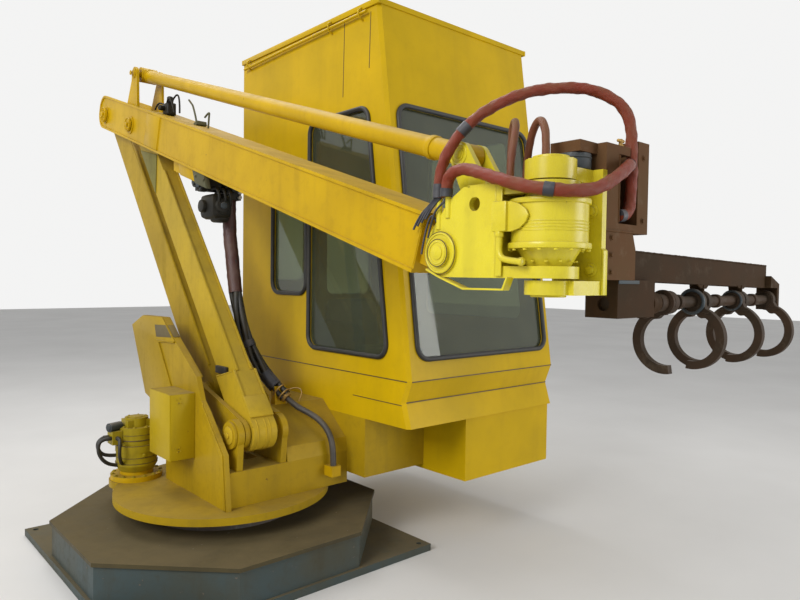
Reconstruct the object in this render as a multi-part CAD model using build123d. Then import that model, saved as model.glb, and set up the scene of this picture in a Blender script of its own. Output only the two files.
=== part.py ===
from build123d import *
import math
import os

# Millimetres. Origin on the slew axis at floor level, +Z up.
# The boom points along -Y and the cab stands on the +X side of the arm.

# Base
anchor_spacing = 1660.0
anchor_edge = 50.0
base_plate_side = anchor_spacing + 2 * anchor_edge
base_plate_thickness = 40.0
base_flats = 1720.0
deck_top = 236.0
deck_thickness = 20.0
deck_overhang = 12.0
ring_radius = 430.0
ring_bore = 300.0
ring_top = 326.0
bearing_gap = 2.0
anchor_hole_radius = 16.0

# Turntable and its slew drive
turntable_plate_thickness = 40.0
turntable_radius = 620.0
frame_front = -450.0
frame_back = 640.0
frame_near = -206.0
frame_far = 580.0
frame_top = 560.0
well_near = -116.0
well_far = 84.0
well_front = -250.0
well_back = 340.0
drive_x = -356.0
drive_y = 455.0
drive_housing_radius = 136.0
drive_ear_width = 22.0
drive_bottom = 252.0
drive_flange_top = 398.0
drive_neck_top = 420.0
drive_band_top = 470.0
drive_drum_top = 578.0
drive_gearbox_top = 684.0
drive_top = 738.0
running_gap = 5.0

# Radial clearance of pins in their bores
fit = 0.1

# Shoulder, elbow and wrist pivots in the plane of the arm (Y, Z)
shoulder_y = -380.0
shoulder_z = 746.0
elbow_y = 1225.0
elbow_z = 2678.0
wrist_y = -1930.0
wrist_z = 1703.0
tail_length = 534.0
level_arm = 294.0
tie_offset_y = -20.0
tie_offset_z = 365.0

# Arm sections
arm_half_width = 50.0
arm_half_depth = 95.0
foot_half_width = 72.0
foot_half_depth = 98.0
foot_length = 430.0
link_half_depth = 112.0
boom_half_width = 125.0
boom_recess = 8.0
boom_upper_tail = 140.0
boom_upper_nose = 120.0
boom_lower_tail = 105.0
boom_lower_nose = 118.0
boom_plate = 14.0
boom_side_plate = 12.0
boom_box_start = 482.0
boom_top_start = 240.0
boom_nose_length = 135.0
boom_tail_overhang = 150.0
boom_tail_round = 108.0
boom_lug_radius = 78.0
boom_lug_outer = 92.0
boom_lug_plate = 24.0
boss_radius = 62.0
lever_plate = 18.0
lever_inner = 80.0
lever_foot = 150.0
tie_tube_radius = 43.0
crank_inner = 80.0
crank_plate = 30.0
level_bar_inner = 57.0
level_bar_plate = 16.0
level_bar_end_radius = 36.0
pedestal_inner = 118.0
pedestal_plate = 36.0
pedestal_round = 84.0
pin_radius = 34.0
small_pin_radius = 22.0
open_pivot_gap = 1.0

# Near cheek and junction box
cheek_near = -206.0
cheek_plate = 28.0
junction_depth = 142.0
junction_front = -100.0
junction_back = 190.0
junction_low = 578.0
junction_high = 948.0

# Cab
cab_near = 580.0
cab_width = 1310.0
cab_front = -1000.0
cab_back = 857.0
cab_low = 780.0
cab_waist = 1040.0
cab_notch_height = 920.0
cab_notch_depth = 45.0
cab_top = 3200.0
cab_lean = 306.0
cab_wall = 30.0
cab_floor_thickness = 30.0
roof_thickness = 30.0
window_low = 1165.0
window_high = cab_top - 610.0
side_window_front = 190.0
side_window_back = 965.0
quarter_window_front = 1014.0
quarter_window_back = 1414.0
quarter_window_low = 1508.0
quarter_window_high = cab_top - 870.0
far_window_front = 230.0
far_window_back = 1210.0
far_window_low = 1330.0
rear_window_near = cab_near + 750.0
rear_window_far = cab_near + 1220.0
rear_window_low = 1470.0
rear_window_high = cab_top - 800.0
corner_chamfer = 20.0
front_window_margin = 85.0
window_corner = 70.0
seal_width = 24.0
seal_proud = 10.0
glass_inset = 10.0
glass_thickness = 8.0
cabinet_inset = 480.0
cabinet_low = 400.0
cabinet_back = 600.0
cabinet_wall = 16.0
support_low = 430.0
bridge_top = 838.0
door_near = cab_near + 70.0
door_width = 600.0
door_low = 860.0
door_high = cab_top - 350.0
door_overlap = 25.0
door_thickness = 24.0
door_window_z = 2030.0
door_window_width = 380.0
door_window_height = 900.0
seat_x = 1250.0
seat_y = 30.0
seat_height = 1130.0
seat_back_height = 390.0
console_near = 850.0
console_far = 965.0
console_top = 1300.0

# Wrist
drum_y = -2315.0
drum_radius = 128.0
drum_low = 1715.0
drum_high = 1876.0
hose_start = 1905.0
clevis_plate = 40.0
clevis_end = 100.0
clevis_low = 1614.0
clevis_high_top = 1934.0
wrist_cheek_inner = 100.0
wrist_cheek_plate = 24.0
lug_inner = 36.0
lug_plate = 24.0

# Yoke, gripper frame and beam
yoke_gap = 7.0
yoke_cap_radius = 80.0
yoke_cap_thickness = 48.0
yoke_plate_x = 160.0
yoke_plate_thickness = 26.0
yoke_half_width = 100.0
frame_length = 289.0
frame_half_width = 96.0
frame_side_width = 84.0
frame_opening_far = 397.0
frame_top_end = 342.0
frame_plate = 30.0
frame_low = 1782.0
frame_high = 2085.0
neck_length = 188.0
beam_low = 1612.0
beam_high = 1724.0
beam_end = 1745.0
beam_droop = 28.0
beam_half_width = 60.0

# Claws
claw_shaft_y = drum_y - 35.0
claw_shaft_z = 1524.0
claw_shaft_radius = 24.0
claw_ring_outer = 138.0
claw_ring_inner = 103.0
claw_drop = 155.0
claw_thickness = 32.0
claw_hub_radius = 48.0
claw_back_stations = (762.0, 1066.0, 1464.0)
claw_front_stations = (1010.0, 1420.0, 1800.0)
end_lug_start = 1828.0
end_lug_end = 1856.0
drive_block_start = 286.0
drive_block_end = 552.0

# Hoses
long_hose_radius = 21.0
short_hose_radius = 22.0
loop_hose_radius = 14.0
bundle_radius = 42.0
drop_radius = 18.0

os.makedirs("parts", exist_ok=True)

# Derived places
S = (shoulder_y, shoulder_z)
E = (elbow_y, elbow_z)
W = (wrist_y, wrist_z)
boom_length = math.dist(E, W)
boom_u = ((W[0] - E[0]) / boom_length, (W[1] - E[1]) / boom_length)
boom_n = (boom_u[1], -boom_u[0])
arm_length = math.dist(S, E)
arm_u = ((E[0] - S[0]) / arm_length, (E[1] - S[1]) / arm_length)
arm_n = (-arm_u[1], arm_u[0])


def along(start, direction, distance, normal=(0.0, 0.0), offset=0.0):
    return (start[0] + direction[0] * distance + normal[0] * offset,
            start[1] + direction[1] * distance + normal[1] * offset)


R = along(E, boom_u, -tail_length)
C = along(S, boom_u, -tail_length)
L = along(E, boom_u, -level_arm)
T = along(S, boom_u, -level_arm)
P = (E[0] + tie_offset_y, E[1] + tie_offset_z)
Q = (W[0] + tie_offset_y, W[1] + tie_offset_z)
turntable_low = ring_top + bearing_gap
turntable_top = turntable_low + turntable_plate_thickness
cab_far = cab_near + cab_width
for pivot, place in zip("SEWRCLTPQ", (S, E, W, R, C, L, T, P, Q)):
    print("pivot", pivot, round(place[0], 3), round(place[1], 3))


def slab(points, x0, x1):
    return extrude(Plane.YZ.offset(x0) * make_face(Polyline(*points, close=True)), amount=x1 - x0)


def slab_y(points, y0, y1):
    return extrude(Plane.XZ.offset(-y1) * make_face(Polyline(*points, close=True)), amount=y1 - y0)


def round_x(centre, radius, x0, x1):
    return extrude(Plane.YZ.offset(x0) * (Pos(centre[0], centre[1]) * Circle(radius)), amount=x1 - x0)


def round_z(x, y, radius, z0, z1):
    return extrude(Plane.XY.offset(z0) * (Pos(x, y) * Circle(radius)), amount=z1 - z0)


def block(x0, x1, y0, y1, z0, z1):
    return Pos((x0 + x1) / 2, (y0 + y1) / 2, (z0 + z1) / 2) * Box(x1 - x0, y1 - y0, z1 - z0)


def bar(start, end, r_start, r_end, x0, x1):
    length = math.dist(start, end)
    u = ((end[0] - start[0]) / length, (end[1] - start[1]) / length)
    n = (-u[1], u[0])
    web = slab([along(start, u, 0, n, r_start), along(start, u, 0, n, -r_start),
                along(end, u, 0, n, -r_end), along(end, u, 0, n, r_end)], x0, x1)
    return web + round_x(start, r_start, x0, x1) + round_x(end, r_end, x0, x1)


def rounded(points, radius):
    face = make_face(Polyline(*points, close=True))
    return fillet(face.vertices(), radius)


def save(name, shape):
    export_step(shape, f"parts/{name}.step")


# Base
def octagon(flats, z0, z1):
    outer_radius = flats / 2 / math.cos(math.pi / 8)
    face = Plane.XY.offset(z0) * (Rot(0, 0, 22.5) * RegularPolygon(outer_radius, 8))
    return extrude(face, amount=z1 - z0)


half_plate = base_plate_side / 2
base_plate = block(-half_plate, half_plate, -half_plate, half_plate, 0, base_plate_thickness)
for sx in (-1, 1):
    for sy in (-1, 1):
        base_plate -= round_z(sx * anchor_spacing / 2, sy * anchor_spacing / 2,
                              anchor_hole_radius, -1, base_plate_thickness + 1)
save("base_plate", base_plate)
save("base_housing", octagon(base_flats, base_plate_thickness, deck_top - deck_thickness))
save("deck_plate", octagon(base_flats + 2 * deck_overhang, deck_top - deck_thickness, deck_top))
slewing_ring = round_z(0, 0, ring_radius, deck_top, ring_top)
slewing_ring -= round_z(0, 0, ring_bore, deck_top - 1, ring_top + 1)
save("slewing_ring", slewing_ring)

# Turntable
turntable = round_z(0, 0, turntable_radius, turntable_low, turntable_top)
turntable += round_z(drive_x, drive_y, drive_housing_radius + drive_ear_width, turntable_low, turntable_top)
turntable += round_z(0, 0, ring_bore - fit, deck_top + running_gap, turntable_low)
turntable -= round_z(drive_x, drive_y, drive_housing_radius, turntable_low - 1, turntable_top + 1)
save("turntable_plate", turntable)
frame_parts = [
    block(frame_near, frame_far, frame_front, well_front, turntable_top, frame_top),
    block(frame_near, well_near, well_front, well_back, turntable_top, frame_top),
    block(well_far, frame_far, well_front, well_back, turntable_top, frame_top),
    block(frame_near + 180, frame_far, well_back, frame_back, turntable_top, frame_top),
]
save("turntable_frame", Compound(children=frame_parts))
bridge_near = pedestal_inner + pedestal_plate + 6
bridge = slab([(frame_front, frame_top), (frame_front + 20, 640), (frame_front + 260, bridge_top),
               (450, bridge_top), (600, frame_top)], bridge_near, frame_far)
save("cab_bridge", bridge)

drive_housing = round_z(drive_x, drive_y, drive_housing_radius, drive_bottom, drive_flange_top)
drive_housing += round_z(drive_x, drive_y, drive_housing_radius + 14, turntable_top, drive_flange_top)
drive_housing += round_z(drive_x, drive_y, 96, drive_flange_top, drive_neck_top)
save("slew_housing", drive_housing)
gearbox = Pos(drive_x, drive_y, drive_neck_top + 18) * Cone(102, 122, 36)
gearbox += round_z(drive_x, drive_y, 122, drive_neck_top + 36, drive_band_top)
for low, high, radius in ((drive_band_top, drive_drum_top - 40, 119), (drive_drum_top - 40, drive_drum_top, 122),
                          (drive_drum_top, drive_gearbox_top, 106)):
    gearbox += round_z(drive_x, drive_y, radius, low, high)
gearbox += round_z(drive_x, drive_y, 68, drive_gearbox_top, drive_top)
gearbox += block(drive_x - 72, drive_x + 60, drive_y - 58, drive_y + 58, drive_gearbox_top, drive_top - 12)
gearbox += block(drive_x - 158, drive_x - 100, drive_y - 45, drive_y + 45, drive_drum_top + 12, drive_gearbox_top - 14)
save("slew_drive", gearbox)

# Near cheek with the junction box
cheek_outline = [(-484, turntable_top), (-450, 660), (-240, 865), (-180, 913), (-118, 1041), (47, 1143),
                 (175, 1223), (346, 1352), (666, 1348), (847, 1278), (616, 848), (318, 770), (300, turntable_top)]
cheek_outer = cheek_near - cheek_plate
save("near_cheek", slab(cheek_outline, cheek_outer, cheek_near))
save("junction_box", block(cheek_outer - junction_depth, cheek_outer, junction_front, junction_back,
                           junction_low, junction_high))


# Shoulder pedestals, the far one also carries the fixed levelling pin
def pedestal(side, with_level_pin):
    x0, x1 = sorted((side * pedestal_inner, side * (pedestal_inner + pedestal_plate)))
    points = [(S[0] - 60, frame_top), (S[0] - 76, S[1]), (S[0] + 84, S[1] + 20), (well_front - 8, frame_top)]
    shape = slab(points, x0, x1) + round_x(S, pedestal_round, x0, x1)
    if with_level_pin:
        shape += slab([(S[0] + 60, frame_top), (S[0], S[1] + 90), (T[0] - 20, T[1] + 52),
                       (T[0] + 50, T[1]), (T[0] + 60, frame_top)], x0, x1)
        shape += round_x(T, 56, x0, x1) + round_x(T, small_pin_radius, level_bar_inner - 3, x0)
    return shape - round_x(S, pin_radius + fit, x0 - 1, x1 + 1)


save("pedestal_near", pedestal(-1, False))
save("pedestal_far", pedestal(1, True))

# Lower arm with its foot, the elbow pin and the shoulder shaft
lower = slab([along(S, arm_u, 60, arm_n, arm_half_depth), along(S, arm_u, 60, arm_n, -arm_half_depth),
              along(E, arm_u, 0, arm_n, -arm_half_depth), along(E, arm_u, 0, arm_n, arm_half_depth)],
             -arm_half_width, arm_half_width)
lower += round_x(E, arm_half_depth, -arm_half_width, arm_half_width)
lower += slab([along(S, arm_u, 0, arm_n, foot_half_depth), along(S, arm_u, 0, arm_n, -foot_half_depth),
               along(S, arm_u, foot_length, arm_n, -foot_half_depth),
               along(S, arm_u, foot_length - 90, arm_n, foot_half_depth)], -foot_half_width, foot_half_width)
lower += round_x(S, foot_half_depth + 2, -foot_half_width, foot_half_width)
lower -= round_x(E, pin_radius, -arm_half_width - 1, arm_half_width + 1)
lower -= round_x(S, pin_radius, -foot_half_width - 1, foot_half_width + 1)
save("lower_arm", lower)
shaft_end = pedestal_inner + pedestal_plate + 2
shoulder_shaft = round_x(S, pin_radius, -shaft_end, shaft_end)
shoulder_shaft += round_x(S, 74, -shaft_end - 14, -shaft_end)
save("shoulder_shaft", shoulder_shaft)
pin_end = boom_half_width + 6
elbow_pin = round_x(E, pin_radius, -pin_end, pin_end)
elbow_pin += round_x(E, 48, -pin_end - 10, -pin_end) + round_x(E, 48, pin_end, pin_end + 10)
save("elbow_pin", elbow_pin)

# Crank beside the foot, driving the tail of the boom through the rear link
crank = bar(S, C, 78, 62, -crank_inner - crank_plate, -crank_inner)
crank -= round_x(S, pin_radius + fit, -crank_inner - crank_plate - 1, -crank_inner + 1)
crank += round_x(C, pin_radius, -crank_inner, arm_half_width + 2)
crank += round_x(C, 56, -crank_inner, -arm_half_width - 6)
save("crank", crank)
link = bar(C, R, link_half_depth, link_half_depth - 12, -arm_half_width, arm_half_width)
link -= round_x(C, pin_radius + open_pivot_gap, -arm_half_width - 1, arm_half_width + 1)
link -= round_x(R, pin_radius + fit, -arm_half_width - 1, arm_half_width + 1)
save("rear_link", link)
tail_pin = round_x(R, pin_radius, -pin_end, pin_end)
tail_pin += round_x(R, 56, -pin_end - 12, -pin_end) + round_x(R, 56, pin_end, pin_end + 12)
save("tail_pin", tail_pin)


# Boom: flanged box in front, two rimmed side plates at the tail
def boom_point(distance, offset):
    return along(E, boom_u, distance, boom_n, offset)


def upper_edge(distance):
    share = max(0.0, distance) / boom_length
    return boom_upper_tail + share * (boom_upper_nose - boom_upper_tail)


def lower_edge(distance):
    share = max(0.0, distance) / boom_length
    return -boom_lower_tail - share * (boom_lower_nose - boom_lower_tail)


def boom_strip(start, end, edge, inward, x0, x1):
    return slab([boom_point(start, edge(start)), boom_point(end, edge(end)),
                 boom_point(end, edge(end) + inward), boom_point(start, edge(start) + inward)], x0, x1)


box_end = boom_length - boom_nose_length
side_out = boom_half_width - boom_recess
side_in = side_out - boom_side_plate
boom_box = slab([boom_point(boom_box_start, upper_edge(boom_box_start)), boom_point(box_end, upper_edge(box_end)),
                 boom_point(box_end, lower_edge(box_end)),
                 boom_point(boom_box_start, lower_edge(boom_box_start))], -side_out, side_out)
boom_box -= slab([boom_point(boom_box_start + boom_plate, upper_edge(boom_box_start) - boom_plate),
                  boom_point(box_end - boom_plate, upper_edge(box_end) - boom_plate),
                  boom_point(box_end - boom_plate, lower_edge(box_end) + boom_plate),
                  boom_point(boom_box_start + boom_plate, lower_edge(boom_box_start) + boom_plate)],
                 -side_in, side_in)
boom_box += boom_strip(boom_box_start, box_end, upper_edge, -boom_plate, -boom_half_width, boom_half_width)
boom_box += boom_strip(boom_box_start, box_end, lower_edge, boom_plate, -boom_half_width, boom_half_width)
boom_box += boom_strip(boom_top_start, boom_box_start + 1, upper_edge, -boom_plate, -side_in, side_in)
boom_box += slab([boom_point(700, lower_edge(700) + 2), boom_point(930, lower_edge(930) + 2),
                  boom_point(930, lower_edge(930) - 75), boom_point(730, lower_edge(730) - 75)], -70, 70)
for side in (-1, 1):
    x0, x1 = sorted((side * (boom_lug_outer - boom_lug_plate), side * boom_lug_outer))
    lug = slab([boom_point(box_end, boom_lug_radius), boom_point(box_end, -boom_lug_radius),
                boom_point(boom_length, -boom_lug_radius), boom_point(boom_length, boom_lug_radius)], x0, x1)
    lug += round_x(W, boom_lug_radius, x0, x1)
    boom_box += lug - round_x(W, pin_radius + fit, x0 - 1, x1 + 1)
save("boom_box", boom_box)


def tail_face(inset):
    top = boom_upper_tail - inset
    low = -boom_lower_tail + inset
    end = -tail_length - boom_tail_overhang + inset
    face = make_face(Polyline(boom_point(boom_box_start, upper_edge(boom_box_start) - inset),
                              boom_point(boom_box_start, lower_edge(boom_box_start) + inset),
                              boom_point(0, low), boom_point(end, low), boom_point(end, top),
                              boom_point(0, top), close=True))
    corners = face.vertices().sort_by(Axis.X)[-2:]
    return fillet(corners, boom_tail_round - inset)


def tail_plate(side):
    x0, x1 = sorted((side * side_in, side * side_out))
    rim0, rim1 = sorted((side * side_in, side * boom_half_width))
    plate = extrude(Plane.YZ.offset(x0) * tail_face(0), amount=x1 - x0)
    rim = extrude(Plane.YZ.offset(rim0) * tail_face(0), amount=rim1 - rim0)
    rim -= extrude(Plane.YZ.offset(rim0 - 1) * tail_face(boom_plate), amount=rim1 - rim0 + 2)
    plate += rim
    for centre in (E, R):
        plate += round_x(centre, boss_radius, rim0, rim1)
        plate -= round_x(centre, pin_radius + fit, rim0 - 1, rim1 + 1)
    return plate


save("boom_tail", Compound(children=[tail_plate(-1), tail_plate(1)]))
valve_low = 2078.0
valve_front = 110.0
valve_back = 330.0


def under_boom(y):
    distance = (E[0] - y) / -boom_u[0]
    return E[1] + boom_u[1] * distance + lower_edge(distance) / -boom_u[0]


valve_block = slab([(150, valve_low + 40), (150, under_boom(150) - 8), (330, under_boom(330) - 8),
                    (330, valve_low + 60)], -40, 60)
valve_block += slab([(120, valve_low), (120, under_boom(120) - 8), (270, under_boom(270) - 8),
                     (270, valve_low)], 60, 165)
valve_block += round_x((196, valve_low + 96), 56, -74, -40) + round_x((286, valve_low + 110), 34, -66, -40)
valve_block += block(-30, 110, 150, 290, valve_low + 60, under_boom(150) + 6)
valve_block -= slab([boom_point(400, lower_edge(400)), boom_point(2000, lower_edge(2000)),
                     boom_point(2000, 0), boom_point(400, 0)], -200, 200)
save("valve_block", valve_block)


# Levelling lever: two plates with the tie pin across them and the stub for the levelling bar
def lever_side(side):
    x0, x1 = sorted((side * lever_inner, side * (lever_inner + lever_plate)))
    plate = bar(E, P, 78, 46, x0, x1) + bar(E, L, 78, 46, x0, x1)
    plate += slab([(P[0] + 40, P[1] - 20), (E[0] + lever_foot, E[1] + 120), (E[0] + 70, E[1] - 30), E, P], x0, x1)
    return plate - round_x(E, pin_radius + fit, x0 - 1, x1 + 1)


lever_outer = lever_inner + lever_plate
lever = lever_side(-1) + lever_side(1)
lever += round_x(L, small_pin_radius, level_bar_inner - 3, lever_inner)
lever += round_x(P, small_pin_radius, -lever_outer - 12, lever_outer + 12)
save("levelling_lever", lever)
level_bar = bar(T, L, level_bar_end_radius, level_bar_end_radius, level_bar_inner,
                level_bar_inner + level_bar_plate)
level_bar -= round_x(T, small_pin_radius + fit, 0, 200)
level_bar -= round_x(L, small_pin_radius + open_pivot_gap, 0, 200)
save("levelling_bar", level_bar)

# Tie rod
rod_plane = Plane(origin=(0, P[0], P[1]), x_dir=(1, 0, 0), z_dir=(0, boom_u[0], boom_u[1]))
tube = extrude(rod_plane.offset(-90) * Circle(tie_tube_radius), amount=boom_length + 90)
tube += round_x(P, 52, -56, 56)
for side in (-1, 1):
    x0, x1 = sorted((side * (lug_inner - 6), side * 80))
    tube -= slab([along(Q, boom_u, -90, boom_n, -80), along(Q, boom_u, 80, boom_n, -80),
                  along(Q, boom_u, 80, boom_n, 80), along(Q, boom_u, -90, boom_n, 80)], x0, x1)
tube += round_x(Q, 46, -lug_inner + 6, lug_inner - 6)
tube -= round_x(P, small_pin_radius + fit, -100, 100)
tube -= round_x(Q, small_pin_radius + open_pivot_gap, -100, 100)
save("tie_rod", tube)

# Wrist bracket with the wrist pin, the lugs of the tie rod and the hose stand
bracket_outline = [(W[0] + 10, W[1] - 88), (W[0] + 78, W[1] - 45), (W[0] + 84, W[1] + 50),
                   (-1966, 1892), (-2034, clevis_high_top), (-2184, clevis_high_top), (-2184, clevis_low)]
wrist_half = wrist_cheek_inner + wrist_cheek_plate
bracket = round_x(W, pin_radius, -wrist_half - 6, wrist_half + 6)
for side in (-1, 1):
    x0, x1 = sorted((side * wrist_cheek_inner, side * wrist_half))
    bracket += slab(bracket_outline, x0, x1) - round_x((-2088, 1871), 25, x0 - 1, x1 + 1)
    x0, x1 = sorted((side * wrist_half, side * (wrist_half + 10)))
    bracket += round_x(W, 78, x0, x1)
    x0, x1 = sorted((side * (wrist_half + 10), side * (wrist_half + 24)))
    bracket += round_x(W, 48, x0, x1)
    x0, x1 = sorted((side * lug_inner, side * (lug_inner + lug_plate)))
    bracket += bar(Q, (Q[0] - 90, clevis_high_top - 30), 48, 60, x0, x1)
for z0 in (clevis_low, clevis_high_top - clevis_plate):
    clevis = make_face(Polyline((-wrist_half, -2060), (-wrist_half, -2184), (-clevis_end, drum_y),
                                (clevis_end, drum_y), (wrist_half, -2184), (wrist_half, -2060), close=True))
    bracket += extrude(Plane.XY.offset(z0) * clevis, amount=clevis_plate)
    bracket += round_z(0, drum_y, clevis_end, z0, z0 + clevis_plate)
bracket += block(-wrist_half, wrist_half, -2184, -2158, clevis_low, clevis_high_top)
bracket += round_x(Q, small_pin_radius, -lug_inner - lug_plate - 4, lug_inner + lug_plate + 4)
bracket += round_z(-120, -1912, 12, 1790, hose_start)
bracket += round_z(-122, -1960, 12, 1830, hose_start)
save("wrist_bracket", bracket)
drum = round_z(0, drum_y, drum_radius, drum_low, drum_high)
drum += round_z(0, drum_y, 84, drum_high, clevis_high_top - clevis_plate)
drum += Pos(0, drum_y, (clevis_low + clevis_plate + drum_low) / 2) * Cone(
    72, 108, drum_low - clevis_low - clevis_plate)
save("wrist_drum", drum)

# Yoke turning with the gripper
cap_low_top = clevis_low - yoke_gap
cap_low = cap_low_top - yoke_cap_thickness
cap_high = clevis_high_top + yoke_gap
yoke = round_z(0, drum_y, yoke_cap_radius, cap_low, cap_low_top)
yoke += block(0, yoke_plate_x, drum_y - yoke_half_width, drum_y + yoke_half_width, cap_low, cap_low_top)
yoke += round_z(0, drum_y, 86, cap_high, cap_high + yoke_cap_thickness + 20)
yoke += block(0, yoke_plate_x, drum_y - 60, drum_y + 60, cap_high, cap_high + yoke_cap_thickness)
yoke += block(yoke_plate_x, yoke_plate_x + yoke_plate_thickness, drum_y - yoke_half_width,
              drum_y + yoke_half_width, cap_low, cap_high + yoke_cap_thickness)
save("yoke", yoke)

# Gripper frame, beam and claws
gx = yoke_plate_x + yoke_plate_thickness
frame_end = gx + frame_length
frame_face = drum_y - frame_half_width
neck_end = gx + neck_length
gripper_frame = block(gx, frame_end, drum_y + 10, drum_y + frame_half_width, frame_low, frame_high)
gripper_frame += block(gx, gx + frame_side_width, frame_face, drum_y + 10, frame_low, frame_high)
gripper_frame += block(frame_opening_far, frame_end, frame_face, drum_y + 10, frame_low, frame_high + 32)
gripper_frame += block(gx, frame_top_end, frame_face, drum_y + 10, frame_high - frame_plate, frame_high)
gripper_frame += block(gx, frame_end, frame_face, drum_y + 10, frame_low, frame_low + frame_plate)
gripper_frame += block(80, gx, drum_y - 60, drum_y + 60, frame_high - frame_plate - 8, frame_high)
gripper_frame += slab_y([(gx, beam_low), (neck_end + 20, beam_low), (neck_end + 20, beam_high),
                         (neck_end, beam_high + 52), (neck_end, frame_low), (gx, frame_low)],
                        frame_face, drum_y + frame_half_width)
save("gripper_frame", gripper_frame)
claw_axis = (claw_shaft_y, claw_shaft_z)
beam = slab_y([(neck_end + 20, beam_low), (neck_end + 20, beam_high), (beam_end, beam_high - beam_droop),
               (beam_end, beam_low - beam_droop)], drum_y - beam_half_width, drum_y + beam_half_width)
beam += slab_y([(beam_end - 1, beam_low - beam_droop), (beam_end - 1, beam_low - beam_droop + 60),
                (end_lug_end, beam_low - beam_droop + 20), (end_lug_end, claw_shaft_z - 52),
                (end_lug_start, claw_shaft_z - 52), (end_lug_start, beam_low - beam_droop)],
               claw_shaft_y - 50, claw_shaft_y + 50)
beam -= round_x(claw_axis, claw_shaft_radius + fit, end_lug_start - 1, end_lug_end + 1)
save("gripper_beam", beam)
drive_block = block(drive_block_start, drive_block_end, drum_y - 92, drum_y + 40, claw_shaft_z - 50, beam_low)
drive_block += round_x(claw_axis, 60, drive_block_end, drive_block_end + 26)
drive_block += round_x(claw_axis, 44, drive_block_end + 26, drive_block_end + 90)
drive_block -= round_x(claw_axis, claw_shaft_radius + fit, drive_block_start - 1, drive_block_end + 91)
drive_block -= beam
save("claw_drive", drive_block)
save("claw_shaft", round_x(claw_axis, claw_shaft_radius, drive_block_start + 20, end_lug_end + 14))


def claw(side, station, bore):
    x0 = station - claw_thickness / 2
    x1 = x0 + claw_thickness
    centre = (claw_shaft_y, claw_shaft_z - claw_drop)
    ring = round_x(centre, claw_ring_outer, x0, x1) - round_x(centre, claw_ring_inner, x0 - 1, x1 + 1)
    keep = slab([(centre[0], centre[1] + 400), (centre[0] + side * 400, centre[1] + 400),
                 (centre[0] + side * 400, centre[1] - 400), (centre[0] - side * 70, centre[1] - 400),
                 (centre[0], centre[1])], x0 - 1, x1 + 1)
    neck_root = (claw_shaft_y + side * 4, claw_shaft_z)
    neck_foot = (claw_shaft_y + side * 42, claw_shaft_z - 48)
    shape = (ring & keep) + round_x(claw_axis, claw_hub_radius, x0, x1) + bar(neck_root, neck_foot, 34, 22, x0, x1)
    return shape - round_x(claw_axis, bore, x0 - 1, x1 + 1)


save("claws_back", Compound(children=[claw(1, s, claw_shaft_radius) for s in claw_back_stations]))
save("claws_front", Compound(children=[claw(-1, s, claw_shaft_radius + fit) for s in claw_front_stations]))

# Cab
roof_under = cab_top - roof_thickness


def front_at(z):
    return cab_front + cab_lean * (z - cab_waist) / (cab_top - cab_waist)


def front_profile(inset):
    return [(cab_front + inset, cab_low), (cab_front + cab_notch_depth + inset, cab_notch_height),
            (cab_front + inset, cab_waist), (front_at(roof_under) + inset, roof_under)]


side_outline = front_profile(0) + [(cab_back, roof_under), (cab_back, cab_low)]


def leaning_window(grow, front, back, low, high):
    slope = cab_lean / (cab_top - cab_waist)
    y_low = cab_front + front + slope * (low - grow - window_low) - grow
    y_high = cab_front + front + slope * (high + grow - window_low) - grow
    y_back = cab_front + back + grow
    return rounded([(y_low, low - grow), (y_back, low - grow), (y_back, high + grow), (y_high, high + grow)],
                   window_corner + grow)


def side_window(grow):
    return leaning_window(grow, side_window_front, side_window_back, window_low, window_high)


def far_window(grow):
    return leaning_window(grow, far_window_front, far_window_back, far_window_low, window_high)


def quarter_window(grow):
    y0 = cab_front + quarter_window_front - grow
    y1 = cab_front + quarter_window_back + grow
    return rounded([(y0, quarter_window_low - grow), (y1, quarter_window_low - grow),
                    (y1, quarter_window_high + grow), (y0, quarter_window_high + grow)], window_corner + grow)


def side_wall(x_outer, sign, windows):
    wall = extrude(Plane.YZ.offset(x_outer) * make_face(Polyline(*side_outline, close=True)),
                   amount=sign * cab_wall)
    front_edges = wall.edges().filter_by(lambda edge: abs(edge.center().X - x_outer) < 1
                                         and edge.center().Y < cab_front + cab_lean
                                         and abs(edge.tangent_at(0.5).Z) > 0.5)
    wall = chamfer(front_edges, corner_chamfer)
    for window in windows:
        wall -= extrude(Plane.YZ.offset(x_outer - sign) * window(0), amount=sign * (cab_wall + 2))
    return wall


near_windows = (side_window, quarter_window)
far_windows = (far_window,)
save("cab_wall_near", side_wall(cab_near, 1, near_windows))
save("cab_wall_far", side_wall(cab_far, -1, far_windows))
inside_near = cab_near + cab_wall
inside_far = cab_far - cab_wall
front_wall = slab(front_profile(0) + front_profile(cab_wall)[::-1], inside_near, inside_far)
lean = math.atan2(cab_lean, cab_top - cab_waist)
cab_middle = (cab_near + cab_far) / 2
front_plane = Plane(origin=(cab_middle, cab_front, cab_waist), x_dir=(1, 0, 0),
                    z_dir=(0, -math.cos(lean), math.sin(lean)))


def front_window(grow):
    half = cab_width / 2 - front_window_margin + grow
    low = (window_low - cab_waist) / math.cos(lean) - grow
    high = (window_high - cab_waist) / math.cos(lean) + grow
    return rounded([(-half, low), (half, low), (half, high), (-half, high)], window_corner + grow)


front_wall -= extrude(front_plane.offset(5) * front_window(0), amount=-cab_wall - 20)
save("cab_wall_front", front_wall)
rear_wall = block(inside_near, inside_far, cab_back - cab_wall, cab_back, cab_low, roof_under)
door_far = door_near + door_width
rear_wall -= block(door_near, door_far, cab_back - cab_wall - 1, cab_back + 1, door_low, door_high)


def rear_window(grow):
    middle = Pos((rear_window_near + rear_window_far) / 2, (rear_window_low + rear_window_high) / 2)
    return middle * RectangleRounded(rear_window_far - rear_window_near + 2 * grow,
                                     rear_window_high - rear_window_low + 2 * grow, window_corner + grow)


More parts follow.
